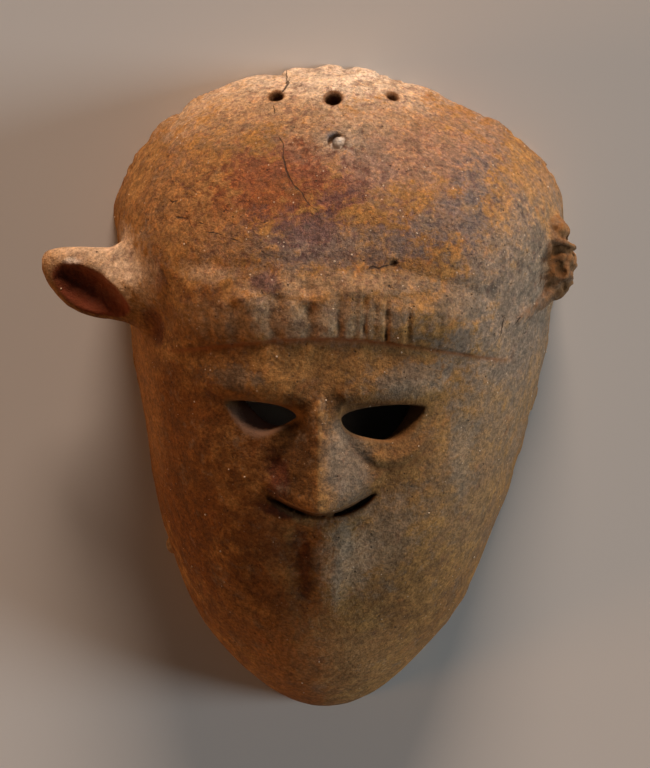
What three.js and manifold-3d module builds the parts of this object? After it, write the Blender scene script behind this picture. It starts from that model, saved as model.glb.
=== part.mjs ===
// Silenus mask of fired clay, one hollow piece, lying on its back rim with the face up.
// Millimetres. X runs to the viewer's right, Y toward the crown, Z out of the face.
// The origin is the middle of the outline, on the flat plane of the rim.
import * as THREE from 'three';
import { mergeVertices } from 'three/addons/utils/BufferGeometryUtils.js';
import Module from 'manifold-3d';

const wasm = await Module();
wasm.setup();

// Overall form of the hollow head
const WALL = 6.5;
const PEAK = 66;
const CENTRE_Y = 45;
// Rim radius seen from above, every fifteen degrees counter-clockwise from the chin
const RIM_RADII = [
  147.4, 128.2, 101.8, 84, 74.3, 69.8, 69.8, 71, 66.2, 60.2, 56.3, 55.2,
  55.5, 55.4, 57.7, 61, 63.6, 65.1, 63.4, 63, 68.4, 79.4, 101.6, 130.8,
];
// Depth by which each side keeps turning in below the rim plane, and how boxy its profile is
const CROWN = { flare: 28, power: 1.7 };
const CHEEK = { flare: 5, power: 2.5 };
const CHIN = { flare: 10, power: 2.8 };

// Hair fringe across the brow
const FRINGE = {
  middleY: 44.6,
  sag: 0.0052,
  half: 9.8,
  narrowing: 0.0008,
  foot: 1.3,
  middleFoot: 2.2,
  height: 3.1,
  left: 45,
  right: 55,
};
// Grooves pressed between the locks: place across the brow, depth, width
const LOCK_GROOVES = [
  [-32.8, 0.9, 1.3], [-23.5, 1.2, 3.4], [-13.4, 1.2, 2.8], [-4, 1.3, 2.8], [4.2, 1.1, 1.6],
  [11.4, 0.8, 1.3], [17.8, 1, 1.3], [24.2, 1.2, 1.3], [32.6, 0.9, 1.3], [50.4, 0.9, 1.3],
];

// Face
const BROW_HEIGHT = 1.2;
const NOSE_LIP_HEIGHT = 3.4;
const NOSE_WING = { x: 10.7, y: -8.2, height: 0.8 };
const NOSE_DENT = { x: -12.2, y: -4.5, depth: 1.1 };
const NOSE_MIDDLE = -0.8;
const MOUTH = { y: -18.6, rise: 0.0262, tilt: 0.04, halfWidth: 15.2, halfOpening: 1.1, lean: 0.16 };
const GOATEE = { height: 2.1, groove: 0.8 };
// Each eye: corners, how far the edge bows above and below them, where, and how full the bow is
const EYES = [
  {
    front: {
      inner: [-6.8, 10.3],
      outer: [-31, 13.3],
      up: { bow: 2.9, peak: 0.42, sharp: 1 },
      down: { bow: 6.9, peak: 0.45, sharp: 2 },
    },
    back: {
      inner: [-7.7, 8.8],
      outer: [-24.7, 13.6],
      up: { bow: 2.6, peak: 0.4, sharp: 1.3 },
      down: { bow: 4.8, peak: 0.42, sharp: 1.4 },
    },
  },
  {
    front: {
      inner: [5.4, 9.6],
      outer: [30.4, 13.5],
      up: { bow: 2.9, peak: 0.25, sharp: 1 },
      down: { bow: 7.9, peak: 0.62, sharp: 0.9 },
    },
    back: {
      inner: [5.2, 7.1],
      outer: [27.7, 12.3],
      up: { bow: 3, peak: 0.4, sharp: 1.2 },
      down: { bow: 7.1, peak: 0.5, sharp: 1.9 },
    },
  },
];
const EYE_CORNER_GAP = 0.15;
const EYE_FRONT_Z = 61.5;
const EYE_BACK_Z = 57;
const EYE_CUT_TOP = 66;
const EYE_CUT_BOTTOM = 52;

// Horse ear on the viewer's left, and the broken root of the other one
const EAR = { rootX: -61, length: 22.3, middleY: 40.9, lift: 5.2, half: 10.7, thick: 5.6, z: 29 };
const EAR_ROOT = { from: [-58, 40.5, 28], to: [-49, 42, 34], fromRadius: 9, toRadius: 7 };
const EAR_HOLLOW = {
  centre: [-69.6, 37.2, 37.6],
  half: [14.6, 8, 8.8],
  turn: THREE.MathUtils.degToRad(27),
  shear: 0.35,
};
const EAR_PIT = { x: -49.5, y: 31.5, depth: 4.6 };
const STUMP = { centre: [65.2, 44.5, 15.5], half: [8, 9.6, 9.6] };
const STUMP_PLATE = { centre: [65.6, 54.6, 17], half: [4.9, 4.6, 7.5] };
const STUMP_RIDGE = { from: [67, 38, 15], to: [54.5, 34, 39], fromRadius: 4, toRadius: 2.4 };
const STUMP_PITS = [
  { centre: [70.5, 50.4, 22.5], half: [3.6, 1.3, 3.2] },
  { centre: [68.6, 45.2, 25], half: [2.2, 1.9, 1.9] },
];

// Suspension holes through the crown, and the shallow pit below them
const HOLES = [
  { at: [-14.9, 93.6, 16.3], radius: 2.3 },
  { at: [1.8, 93.7, 19.7], radius: 2.8 },
  { at: [18.7, 92.9, 13], radius: 1.75 },
];
const PIT = { at: [3.2, 84.6, 36.7], radius: 2.7, depth: 3 };

// Mesh fineness: grid steps a side, and the largest gap between facet and form
const OUTSIDE_STEPS = 256;
const OUTSIDE_GAP = 0.38;
const INSIDE_STEPS = 64;
const INSIDE_GAP = 1;

const { clamp, lerp, smoothstep } = THREE.MathUtils;
const hump = (distance, width) => Math.exp(-((distance / width) ** 2));

function through(value, places, heights) {
  const last = places.length - 1;
  if (value <= places[0]) return heights[0];
  if (value >= places[last]) return heights[last];
  const i = places.findIndex((place) => place > value) - 1;
  return lerp(heights[i], heights[i + 1], (value - places[i]) / (places[i + 1] - places[i]));
}

function smoothMin(a, b, blend) {
  const h = Math.max(blend - Math.abs(a - b), 0) / blend;
  return Math.min(a, b) - (h * h * h * blend) / 6;
}

// The plain head

function rimRadius(angle) {
  const n = RIM_RADII.length;
  const turn = (((angle + Math.PI / 2) / (2 * Math.PI)) * n + n) % n;
  const i = Math.floor(turn);
  const t = turn - i;
  const [a, b, c, d] = [i + n - 1, i, i + 1, i + 2].map((k) => RIM_RADII[k % n]);
  return b + 0.5 * t * (c - a + t * (2 * a - 5 * b + 4 * c - d + t * (3 * (b - c) + d - a)));
}

function headPoint(angle, reach) {
  const side = Math.cos(angle);
  const along = Math.sin(angle);
  const crown = Math.max(along, 0) ** 2;
  const chin = Math.max(-along, 0) ** 2;
  const cheek = side * side;
  const flare = CROWN.flare * crown + CHEEK.flare * cheek + CHIN.flare * chin;
  const power = CROWN.power * crown + CHEEK.power * cheek + CHIN.power * chin;
  const tall = PEAK + flare;
  const atRim = (1 - (flare / tall) ** 2) ** (1 / power);
  const a = Math.sin(reach * Math.asin(atRim));
  const radius = (rimRadius(angle) * a) / atRim;
  const z = tall * Math.sqrt(Math.max(1 - a ** power, 0)) - flare;
  return new THREE.Vector3(radius * side, CENTRE_Y + radius * along, z);
}

function headNormal(angle, reach) {
  const small = 1e-3;
  const near = Math.max(reach, 0.02);
  const around = headPoint(angle + small, near).sub(headPoint(angle - small, near));
  const outward = headPoint(angle, near + small).sub(headPoint(angle, near - small));
  return outward.cross(around).normalize();
}

// Everything that stands out of the head or sinks into it, as a lift along Z

const mouthLine = (x) => MOUTH.y + MOUTH.tilt * x + MOUTH.rise * x * x;

function fringe(x, y) {
  const middle = FRINGE.middleY - FRINGE.sag * x * x;
  const half = FRINGE.half - FRINGE.narrowing * x * x;
  const side = x < 0 ? -x / FRINGE.left : x / FRINGE.right;
  const ends = 1 - smoothstep(side, 0.86, 1.04);
  const t = (y - middle) / half;
  const foot = lerp(FRINGE.foot, FRINGE.middleFoot, hump(x - 5, 24));
  const roll = smoothstep(t, -1.1, -0.78) * (1 - smoothstep(t, 0.3, 1.12));
  const height = lerp(foot, FRINGE.height, smoothstep(t, -0.95, 0.3));
  const lean = x - (0.0022 * x - 0.02) * (y - middle);
  const grooves = LOCK_GROOVES.map(([place, depth, width]) => depth * hump(lean - place, width));
  const face = smoothstep(t, -1.15, -0.8) * (1 - smoothstep(t, 0.25, 0.9));
  const crease = 0.3 * (hump(t - 1.2, 0.2) + hump(t + 1.12, 0.09));
  return ends * (roll * height - face * Math.max(...grooves) - crease);
}

function brows(x, y) {
  const out = Math.abs(x);
  const crest = through(out, [0, 6, 11, 16, 26, 34, 42], [14.5, 17.6, 19.2, 19.8, 20.2, 19.6, 16]);
  const height = BROW_HEIGHT * smoothstep(out, 1, 7) * (1 - smoothstep(out, 27, 42));
  const above = y - crest;
  const frown = 1.3 * hump(x - 3.2, 3.6) * hump(y - 16, 4);
  return height * hump(above, above > 0 ? 7 : 4.4) - frown;
}

function sockets(x, y) {
  const out = Math.abs(x);
  const bowl = 1.3 * hump(out - 18, 12) * hump(y - 9, 6.5);
  const corner = 1.8 * hump(out - 8, 3.6) * hump(y - 9, 5);
  const temple = hump(out - 38.5, 3.4) * smoothstep(y, -6, 4) * (1 - smoothstep(y, 22, 32));
  return -bowl - corner - 0.6 * temple;
}

function eyeBag(x, y, height) {
  const line = -1.9 + 0.055 * (x - 20) ** 2;
  const ends = smoothstep(x, 8, 14) * (1 - smoothstep(x, 27, 34));
  return ends * height * (hump(y - line, 2.4) - 0.35 * hump(y - line + 3, 1));
}

function nose(x, y) {
  const places = [-20, -14, -11, -8, -4, 2, 8, 14, 19, 25];
  const height = through(y, places, [7.6, 8.8, 9, 8.8, 7.9, 6.2, 4.4, 2.6, 0.8, 0]);
  const half = through(y, [-16, -9, -5, 1, 7, 12, 17], [15.3, 15.6, 14.4, 9.6, 6.2, 5.2, 5.4]);
  const side = x - NOSE_MIDDLE;
  const t = Math.sqrt((side / (half * (side < 0 ? 0.9 : 1.08))) ** 2 + 0.004) - 0.05;
  const ridge = clamp(1 - t, 0, 1) ** 1.15;
  const bridge = height * (0.86 * ridge + 0.14 * (1 - smoothstep(t, 0.55, 1)));
  const wing = NOSE_WING.height * hump(Math.abs(side) - NOSE_WING.x, 3.6) * hump(y - NOSE_WING.y, 4);
  const dent = NOSE_DENT.depth * hump(x - NOSE_DENT.x, 2) * hump(y - NOSE_DENT.y, 3.6);
  const above = y - mouthLine(x);
  const lip = NOSE_LIP_HEIGHT * clamp(1 - (x / 18.5) ** 2, 0, 1) * hump(above - 4, 4);
  const mass = Math.max(bridge, lip) + 0.3 * Math.min(bridge, lip) + wing - dent;
  return mass * smoothstep(above, 0.3, 4.4);
}

function lowerLip(x, y) {
  return hump(y - mouthLine(x) + 3.4, 1.8) * clamp(1 - (x / 15) ** 2, 0, 1);
}

function goatee(x, y) {
  const middle = through(y, [-47, -30, -20], [0.9, 1.6, 2.6]);
  const half = through(y, [-56, -47, -30, -20], [4.2, 5.6, 6.7, 5.4]);
  const across = 1 - smoothstep(Math.abs(x - middle) / half, 0.45, 1.2);
  const along = smoothstep(y, -60, -42) * (1 - smoothstep(y, -25, -21));
  const lift = smoothstep(y, -52, -38) * (1 - smoothstep(y, -25, -21));
  const groove = hump(x - middle + 0.92 * half, 2.6) * lift;
  return GOATEE.height * across * along - GOATEE.groove * groove;
}

function earPit(x, y) {
  return -EAR_PIT.depth * hump(x - EAR_PIT.x, 4.6) * hump(y - EAR_PIT.y, 5);
}

function relief(x, y) {
  const eyes = brows(x, y) + sockets(x, y) + eyeBag(x, y, 1) + eyeBag(-x, y, 0.15);
  const middle = nose(x, y) + lowerLip(x, y) + goatee(x, y);
  return fringe(x, y) + eyes + middle + earPit(x, y);
}

function insideRelief(x, y) {
  const behindNose = 3 * hump(x, 10) * hump(y + 6, 10);
  const behindFringe = 1.5 * hump(x, 50) * hump(y - 42, 12);
  return behindNose + behindFringe;
}

// A square grid laid over the round rim: fine where the form turns fast, coarse where it is plain

function discPolar(a, b) {
  const u = a * Math.sqrt(1 - (b * b) / 2);
  const v = b * Math.sqrt(1 - (a * a) / 2);
  return { angle: Math.atan2(v, u), reach: Math.min(Math.hypot(u, v), 1) };
}

function adaptiveCap(steps, gap, place) {
  const size = steps + 1;
  const points = [];
  for (let j = 0; j < size; j += 1) {
    for (let i = 0; i < size; i += 1) {
      const { angle, reach } = discPolar((2 * i) / steps - 1, (2 * j) / steps - 1);
      points.push(place(angle, reach));
    }
  }
  const at = (i, j) => j * size + i;
  const gaps = new Float32Array(size * size);
  const middleOf = new THREE.Vector3();

  // Each halving of a right triangle adds the middle of its long side
  function measure(ax, ay, bx, by, cx, cy) {
    if (Math.abs(ax - cx) + Math.abs(ay - cy) <= 1) return 0;
    const mx = (ax + bx) / 2;
    const my = (ay + by) / 2;
    const m = at(mx, my);
    middleOf.lerpVectors(points[at(ax, ay)], points[at(bx, by)], 0.5);
    const here = Math.max(gaps[m], middleOf.distanceTo(points[m]));
    const first = measure(cx, cy, ax, ay, mx, my);
    const second = measure(bx, by, cx, cy, mx, my);
    gaps[m] = Math.max(here, first, second);
    return gaps[m];
  }

  const faces = [];
  function split(ax, ay, bx, by, cx, cy) {
    const mx = (ax + bx) / 2;
    const my = (ay + by) / 2;
    if (Math.abs(ax - cx) + Math.abs(ay - cy) > 1 && gaps[at(mx, my)] > gap) {
      split(cx, cy, ax, ay, mx, my);
      split(bx, by, cx, cy, mx, my);
      return;
    }
    faces.push(at(bx, by), at(ax, ay), at(cx, cy));
  }

  // Several sweeps carry each gap up, until the halves on both sides of every edge agree
  let total = -1;
  for (let before = -2; total !== before; ) {
    before = total;
    measure(0, 0, steps, steps, steps, 0);
    measure(steps, steps, 0, 0, 0, steps);
    total = gaps.reduce((sum, value) => sum + value, 0);
  }
  split(0, 0, steps, steps, steps, 0);
  split(steps, steps, 0, 0, 0, steps);
  return { points, faces };
}

// Close the cap underneath with a fan of triangles to one point
function closedHead(cap, underside) {
  const edges = new Map();
  for (let i = 0; i < cap.faces.length; i += 3) {
    for (let k = 0; k < 3; k += 1) {
      const from = cap.faces[i + k];
      const to = cap.faces[i + ((k + 1) % 3)];
      if (!edges.delete(`${to},${from}`)) edges.set(`${from},${to}`, [from, to]);
    }
  }
  const points = [...cap.points, underside];
  const faces = [...cap.faces];
  for (const [from, to] of edges.values()) faces.push(to, from, points.length - 1);
  return meshOf(points, faces);
}

function meshOf(points, faces) {
  const geometry = new THREE.BufferGeometry().setFromPoints(points);
  geometry.setIndex(faces);
  return geometry;
}

function outsideOfHead() {
  const cap = adaptiveCap(OUTSIDE_STEPS, OUTSIDE_GAP, (angle, reach) => {
    const point = headPoint(angle, reach);
    point.z = reach < 1 ? Math.max(point.z + relief(point.x, point.y), 0) : 0;
    return point;
  });
  return closedHead(cap, new THREE.Vector3(0, CENTRE_Y, 0));
}

function insideOfHead() {
  const cap = adaptiveCap(INSIDE_STEPS, INSIDE_GAP, (angle, reach) => {
    const point = headPoint(angle, reach).addScaledVector(headNormal(angle, reach), -WALL);
    point.z += insideRelief(point.x, point.y) - (reach < 1 ? 0 : 1);
    return point;
  });
  return closedHead(cap, new THREE.Vector3(0, CENTRE_Y, -2 * WALL));
}

// Ear and stump: a sphere drawn out until it meets the form

function capsule(p, { from, to, fromRadius, toRadius }) {
  const a = new THREE.Vector3(...from);
  const line = new THREE.Vector3(...to).sub(a);
  const t = clamp(p.clone().sub(a).dot(line) / line.lengthSq(), 0, 1);
  return a.addScaledVector(line, t).distanceTo(p) - lerp(fromRadius, toRadius, t);
}

function ellipsoid(p, { centre, half }) {
  const q = p.clone().sub(new THREE.Vector3(...centre)).divide(new THREE.Vector3(...half));
  return (q.length() - 1) * Math.min(...half);
}

function earLeaf(p) {
  const along = Math.max((EAR.rootX - p.x) / EAR.length, 0);
  const middle = EAR.middleY + EAR.lift * along ** 3;
  const grow = clamp(p.x + 63, 0, 20);
  const across = Math.abs(p.y - middle) / (EAR.half + 0.22 * grow);
  const deep = Math.abs(p.z - EAR.z + 1.5 * along) / (EAR.thick + 0.2 * grow);
  return (along ** 2.7 + across ** 2 + deep ** 2 - 1) * EAR.thick;
}

const earForm = (p) => smoothMin(earLeaf(p), capsule(p, EAR_ROOT), 4);

function stumpForm(p) {
  const lump = smoothMin(ellipsoid(p, STUMP), capsule(p, STUMP_RIDGE), 4);
  const mass = smoothMin(lump, ellipsoid(p, STUMP_PLATE), 1.2);
  const crumbs = Math.sin(0.9 * p.y + 0.6 * p.z) * Math.sin(0.8 * p.z - 0.7 * p.x + 1);
  return mass - 0.5 * crumbs;
}

function drawnOut(form, centre, limit, around, down) {
  const geometry = new THREE.SphereGeometry(1, around, down);
  const position = geometry.attributes.position;
  const direction = new THREE.Vector3();
  const start = new THREE.Vector3(...centre);
  for (let i = 0; i < position.count; i += 1) {
    direction.fromBufferAttribute(position, i).normalize();
    let inside = 0;
    let outside = limit;
    for (let walk = 0; walk <= limit; walk += 0.5) {
      if (form(start.clone().addScaledVector(direction, walk)) > 0) {
        outside = walk;
        break;
      }
      inside = walk;
    }
    for (let halving = 0; halving < 16; halving += 1) {
      const half = (inside + outside) / 2;
      if (form(start.clone().addScaledVector(direction, half)) > 0) outside = half;
      else inside = half;
    }
    direction.multiplyScalar(inside).add(start);
    position.setXYZ(i, direction.x, direction.y, direction.z);
  }
  return geometry;
}

function ballAt({ centre, half }, around = 12, down = 8) {
  return new THREE.SphereGeometry(1, around, down).scale(...half).translate(...centre);
}

function earHollow() {
  const { centre, half, turn, shear } = EAR_HOLLOW;
  const slant = new THREE.Matrix4().makeShear(0, 0, 0, 0, 0, -shear);
  const ball = new THREE.SphereGeometry(1, 24, 14).scale(...half);
  return ball.rotateZ(-turn).applyMatrix4(slant).translate(...centre);
}

// Eyes and mouth: straight cuts through the wall, given as four-cornered sections along their length

function channel(sections) {
  const points = sections.flat();
  const faces = [0, 2, 1, 0, 3, 2];
  for (let i = 0; i + 4 < points.length; i += 4) {
    for (let k = 0; k < 4; k += 1) {
      const next = (k + 1) % 4;
      faces.push(i + k, i + next + 4, i + k + 4, i + k, i + next, i + next + 4);
    }
  }
  const end = points.length - 4;
  faces.push(end, end + 1, end + 2, end, end + 2, end + 3);
  return meshOf(points, faces);
}

function eyeEdge(eye, t, up) {
  const { bow, peak, sharp } = up ? eye.up : eye.down;
  const rise = sharp * peak;
  const fall = sharp * (1 - peak);
  const full = (t ** rise * (1 - t) ** fall) / (peak ** rise * (1 - peak) ** fall);
  const reach = (up ? 1 : -1) * (bow * full + EYE_CORNER_GAP);
  return [lerp(eye.inner[0], eye.outer[0], t), lerp(eye.inner[1], eye.outer[1], t) + reach];
}

function eyeCut({ front, back }) {
  const sections = [];
  const count = 16;
  for (let i = 0; i <= count; i += 1) {
    const t = (1 - Math.cos((Math.PI * i) / count)) / 2;
    const corner = (up, z) => {
      const [frontX, frontY] = eyeEdge(front, t, up);
      const [backX, backY] = eyeEdge(back, t, up);
      const sunk = (EYE_FRONT_Z - z) / (EYE_FRONT_Z - EYE_BACK_Z);
      return new THREE.Vector3(lerp(frontX, backX, sunk), lerp(frontY, backY, sunk), z);
    };
    sections.push([
      corner(true, EYE_CUT_TOP),
      corner(false, EYE_CUT_TOP),
      corner(false, EYE_CUT_BOTTOM),
      corner(true, EYE_CUT_BOTTOM),
    ]);
  }
  // Both eyes are listed from the nose outward, so the left one runs the other way
  return channel(front.outer[0] < 0 ? sections.reverse() : sections);
}

function mouthCut() {
  const sections = [];
  const count = 16;
  for (let i = 0; i <= count; i += 1) {
    const x = MOUTH.halfWidth * Math.cos(Math.PI * (1 - i / count));
    const open = MOUTH.halfOpening * Math.sqrt(Math.max(1 - (x / MOUTH.halfWidth) ** 2, 0)) + 0.1;
    const corner = (sign, z) =>
      new THREE.Vector3(x, mouthLine(x) + MOUTH.lean * (z - 65) + sign * open, z);
    sections.push([corner(1, 90), corner(-1, 90), corner(-1, 40), corner(1, 40)]);
  }
  return channel(sections);
}

// Holes and pit go in square to the surface

function headSpot([x, y]) {
  const angle = Math.atan2(y - CENTRE_Y, x);
  const wanted = Math.hypot(x, y - CENTRE_Y);
  let near = 0;
  let far = 1;
  for (let halving = 0; halving < 24; halving += 1) {
    const reach = (near + far) / 2;
    const point = headPoint(angle, reach);
    if (Math.hypot(point.x, point.y - CENTRE_Y) < wanted) near = reach;
    else far = reach;
  }
  return { point: headPoint(angle, near), normal: headNormal(angle, near) };
}

function boreCut({ at, radius }, outward, inward) {
  const { point, normal } = headSpot(at);
  const length = outward + inward;
  const bore = new THREE.CylinderGeometry(radius * 1.25, radius, length, 16);
  bore.translate(0, (outward - inward) / 2, 0);
  bore.applyQuaternion(new THREE.Quaternion().setFromUnitVectors(THREE.Object3D.DEFAULT_UP, normal));
  return bore.translate(point.x, point.y, point.z);
}

// Joining and cutting

function solidOf(geometry) {
  const bare = geometry.clone();
  bare.deleteAttribute('normal');
  bare.deleteAttribute('uv');
  const merged = mergeVertices(bare, 1e-5);
  const kept = [];
  const index = merged.index.array;
  for (let i = 0; i < index.length; i += 3) {
    const [a, b, c] = [index[i], index[i + 1], index[i + 2]];
    if (a !== b && b !== c && c !== a) kept.push(a, b, c);
  }
  const vertProperties = new Float32Array(merged.attributes.position.array);
  const mesh = new wasm.Mesh({ numProp: 3, vertProperties, triVerts: new Uint32Array(kept) });
  mesh.merge();
  return new wasm.Manifold(mesh);
}

function geometryOf(solid) {
  const { numProp, vertProperties, triVerts } = solid.getMesh();
  const geometry = new THREE.BufferGeometry();
  const positions = new Float32Array((vertProperties.length / numProp) * 3);
  for (let i = 0; i < positions.length / 3; i += 1) {
    positions.set(vertProperties.subarray(i * numProp, i * numProp + 3), i * 3);
  }
  geometry.setAttribute('position', new THREE.BufferAttribute(positions, 3));
  geometry.setIndex(new THREE.BufferAttribute(new Uint32Array(triVerts), 1));
  geometry.computeVertexNormals();
  return geometry;
}

let body = solidOf(outsideOfHead());
body = body.add(solidOf(drawnOut(earForm, [-64, 41, 29], 40, 32, 20)));
body = body.add(solidOf(drawnOut(stumpForm, [64, 43, 18], 40, 22, 14)));
body = body.subtract(solidOf(insideOfHead()));
body = body.subtract(solidOf(earHollow()));
for (const pit of STUMP_PITS) body = body.subtract(solidOf(ballAt(pit)));
for (const eye of EYES) body = body.subtract(solidOf(eyeCut(eye)));
body = body.subtract(solidOf(mouthCut()));
for (const hole of HOLES) body = body.subtract(solidOf(boreCut(hole, 6, 14)));
body = body.subtract(solidOf(boreCut(PIT, 6, PIT.depth)));

const geometry = geometryOf(body);
geometry.computeBoundingBox();
const outline = geometry.boundingBox.getCenter(new THREE.Vector3());
geometry.translate(-outline.x, -outline.y, 0);

const clay = new THREE.MeshStandardMaterial({ color: 0x9a6a42, roughness: 0.9, metalness: 0 });
const mask = new THREE.Mesh(geometry, clay);
mask.name = 'silenus_mask';

const part = new THREE.Group();
part.name = 'silenus_mask_part';
part.add(mask);

export default part;
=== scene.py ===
# %% [markdown]
# # Silenus mask in fired clay
#
# A silenus is the old, horse-eared companion of the wine god. This mask is one hollow piece of coarse
# red-brown clay, about 200 mm tall. It was formed by hand: a domed shell, with a roll of clay for the
# hair fringe, a wedge for the nose, and a leaf of clay for each ear. The eyes and the mouth were cut
# with a blade while the clay was soft, and three holes in the crown took a cord.
#
# One ear has broken off, and cracks, chips and stains have come with age. They all stay.
#
# The mask lies on its back rim with the face up. In this file its sizes are written in millimetres, and
# `MM` turns them into metres wherever Blender is given a length.

# %% Start, and read the frame
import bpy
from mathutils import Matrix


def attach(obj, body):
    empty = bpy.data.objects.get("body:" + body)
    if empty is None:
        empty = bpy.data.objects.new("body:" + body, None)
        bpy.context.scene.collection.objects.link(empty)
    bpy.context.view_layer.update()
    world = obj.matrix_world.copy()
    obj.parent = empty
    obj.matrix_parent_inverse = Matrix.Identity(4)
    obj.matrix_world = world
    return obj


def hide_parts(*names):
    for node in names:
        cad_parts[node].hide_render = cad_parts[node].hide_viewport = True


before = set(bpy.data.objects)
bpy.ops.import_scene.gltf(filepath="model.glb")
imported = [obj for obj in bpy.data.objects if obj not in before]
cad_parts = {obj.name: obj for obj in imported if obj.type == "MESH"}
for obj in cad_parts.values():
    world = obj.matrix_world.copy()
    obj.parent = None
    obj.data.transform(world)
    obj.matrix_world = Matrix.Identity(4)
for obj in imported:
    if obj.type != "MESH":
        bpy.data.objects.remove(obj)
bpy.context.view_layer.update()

# %% What the script needs
import math
import bmesh
import bpy
import numpy as np
from mathutils import Matrix, Vector

SEED = 7
MM = 0.001
CLAY = "silenus_mask"
print("seed of all that is random:", SEED)

# %% [markdown]
# ## Where the face sits
#
# The ear at the left makes the outline lopsided, so the middle of the outline isn't the middle of the
# face. All the shapes below are measured from the face's own middle line, and `FACE_X` and `FACE_Y`
# move them over to where the solid is.

# %% The main sizes
FACE_X = 4.60
FACE_Y = 0.95
WALL = 6.5
PEAK = 66.0
CENTRE_Y = 45.0
# Rim radius seen from above, every fifteen degrees counter-clockwise from the chin
RIM_RADII = np.array(
    [147.4, 128.2, 101.8, 84, 74.3, 69.8, 69.8, 71, 66.2, 60.2, 56.3, 55.2]
    + [55.5, 55.4, 57.7, 61, 63.6, 65.1, 63.4, 63, 68.4, 79.4, 101.6, 130.8]
)
CROWN = {"flare": 28, "power": 1.7}
CHEEK = {"flare": 5, "power": 2.5}
CHIN = {"flare": 10, "power": 2.8}
print("wall", WALL, "mm; dome", PEAK, "mm over the rim;", len(RIM_RADII), "rim radii")

# %% [markdown]
# ## Small helpers
#
# The whole mask is described by one function that tells, for any point in space, about how far it is
# from the clay surface: below zero is clay, above zero is air. Such a description suits hand-formed
# clay, because pieces can be blended into each other with a soft seam, as a thumb would do it.
#
# - `ramp` goes smoothly from 0 to 1 between two values.
# - `hump` is a soft bump around zero.
# - `join` and `carve` add and take away clay with a rounded seam.


# %% Ramps, humps and seams
def ramp(value, start, end):
    t = np.clip((value - start) / (end - start), 0, 1)
    return t * t * (3 - 2 * t)


def hump(value, width):
    return np.exp(-((value / width) ** 2))


def join(a, b, seam):
    h = np.maximum(seam - np.abs(a - b), 0) / seam
    return np.minimum(a, b) - h**3 * seam / 6


def carve(a, b, seam):
    return -join(-a, b, seam)


def ellipsoid(p, centre, half):
    scaled = [(p[i] - centre[i]) / half[i] for i in range(3)]
    length = np.sqrt(sum(s * s for s in scaled)) + 1e-6
    slope = np.sqrt(sum((s / half[i]) ** 2 for i, s in enumerate(scaled))) / length + 1e-6
    return (length - 1) / slope


def rod(p, start, end, start_radius, end_radius):
    line = np.subtract(end, start)
    along = sum((p[i] - start[i]) * line[i] for i in range(3)) / float(line @ line)
    along = np.clip(along, 0, 1)
    gap = np.sqrt(sum((p[i] - start[i] - along * line[i]) ** 2 for i in range(3)))
    return gap - (start_radius + (end_radius - start_radius) * along)


print("a point 0.5 mm from two pieces is", round(float(join(0.5, 0.5, 2.0)), 2), "mm from their 2 mm seam")

# %% [markdown]
# Fired clay is never quite even. `Grain` is a field of random values on a coarse lattice, blended
# smoothly in between, so it gives the slow swells left by fingers as well as the fine crumb of the
# surface, depending on the size of its cells. The seed is fixed, so every run gives the same mask.


# %% Uneven clay
class Grain:
    def __init__(self, cell, seed):
        self.cell = cell
        self.size = 64
        self.values = np.random.default_rng(seed).uniform(-1, 1, (self.size,) * 3).astype(np.float32)

    def __call__(self, p):
        low, part = [], []
        for axis in p:
            scaled = axis / self.cell + 500.0
            floor = np.floor(scaled)
            t = (scaled - floor).astype(np.float32)
            low.append(floor.astype(np.int64) % self.size)
            part.append(t * t * (3 - 2 * t))
        total = 0
        for corner in range(8):
            weight, index = 1, []
            for i in range(3):
                bit = corner >> i & 1
                weight = weight * (part[i] if bit else 1 - part[i])
                index.append((low[i] + bit) % self.size)
            total = total + weight * self.values[tuple(index)]
        return total


SWELL = Grain(13.0, SEED)
DENT = Grain(5.5, SEED + 1)
CRUMB = Grain(2.1, SEED + 2)
print("cells of swell, dent and crumb, mm:", SWELL.cell, DENT.cell, CRUMB.cell)

# %% [markdown]
# ## The hollow head
#
# Seen from above the rim is an egg, wide at the temples and pointed at the chin. In profile the sides
# rise almost straight and the crown slopes back. `head` gives the distance to that plain dome.


# %% The plain dome
def rim_radius(angle):
    n = len(RIM_RADII)
    turn = ((angle + np.pi / 2) / (2 * np.pi) * n) % n
    i = np.floor(turn).astype(int) % n
    t = turn - np.floor(turn)
    a, b, c, d = (RIM_RADII[(i + k) % n] for k in (-1, 0, 1, 2))
    return b + 0.5 * t * (c - a + t * (2 * a - 5 * b + 4 * c - d + t * (3 * (b - c) + d - a)))


def head(p):
    x, y, z = p[0], p[1] - CENTRE_Y, p[2]
    radius = np.hypot(x, y) + 1e-6
    crown = np.clip(y / radius, 0, 1) ** 2
    chin = np.clip(-y / radius, 0, 1) ** 2
    cheek = (x / radius) ** 2
    flare = CROWN["flare"] * crown + CHEEK["flare"] * cheek + CHIN["flare"] * chin
    power = CROWN["power"] * crown + CHEEK["power"] * cheek + CHIN["power"] * chin
    tall = PEAK + flare
    reach = rim_radius(np.arctan2(y, x)) / (1 - (flare / tall) ** 2) ** (1 / power)
    a = np.maximum(radius / reach, 1e-4)
    b = np.maximum((z + flare) / tall, 1e-4)
    slope = np.hypot(power * a ** (power - 1) / reach, 2 * b / tall)
    return (a**power + b * b - 1) / np.maximum(slope, 0.004)


print("rim radius at the crown, mm:", round(float(rim_radius(math.pi / 2)), 1))

# %% [markdown]
# ## The features
#
# Each feature is a lift along Z over the plain head, in millimetres: above zero where clay was added,
# below zero where it was pressed in.
#
# The hair fringe is a roll of clay laid across the brow. Its lower edge is steep, its upper edge is
# smoothed into the crown, and the locks are separated by grooves pressed with a tool, some deep and
# some nearly gone.

# %% The hair fringe
FRINGE_Y = 44.6
FRINGE_HALF = 9.8
FRINGE_LIFT = 3.3
FRINGE_LEFT_END = 45
FRINGE_RIGHT_END = 55
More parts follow.
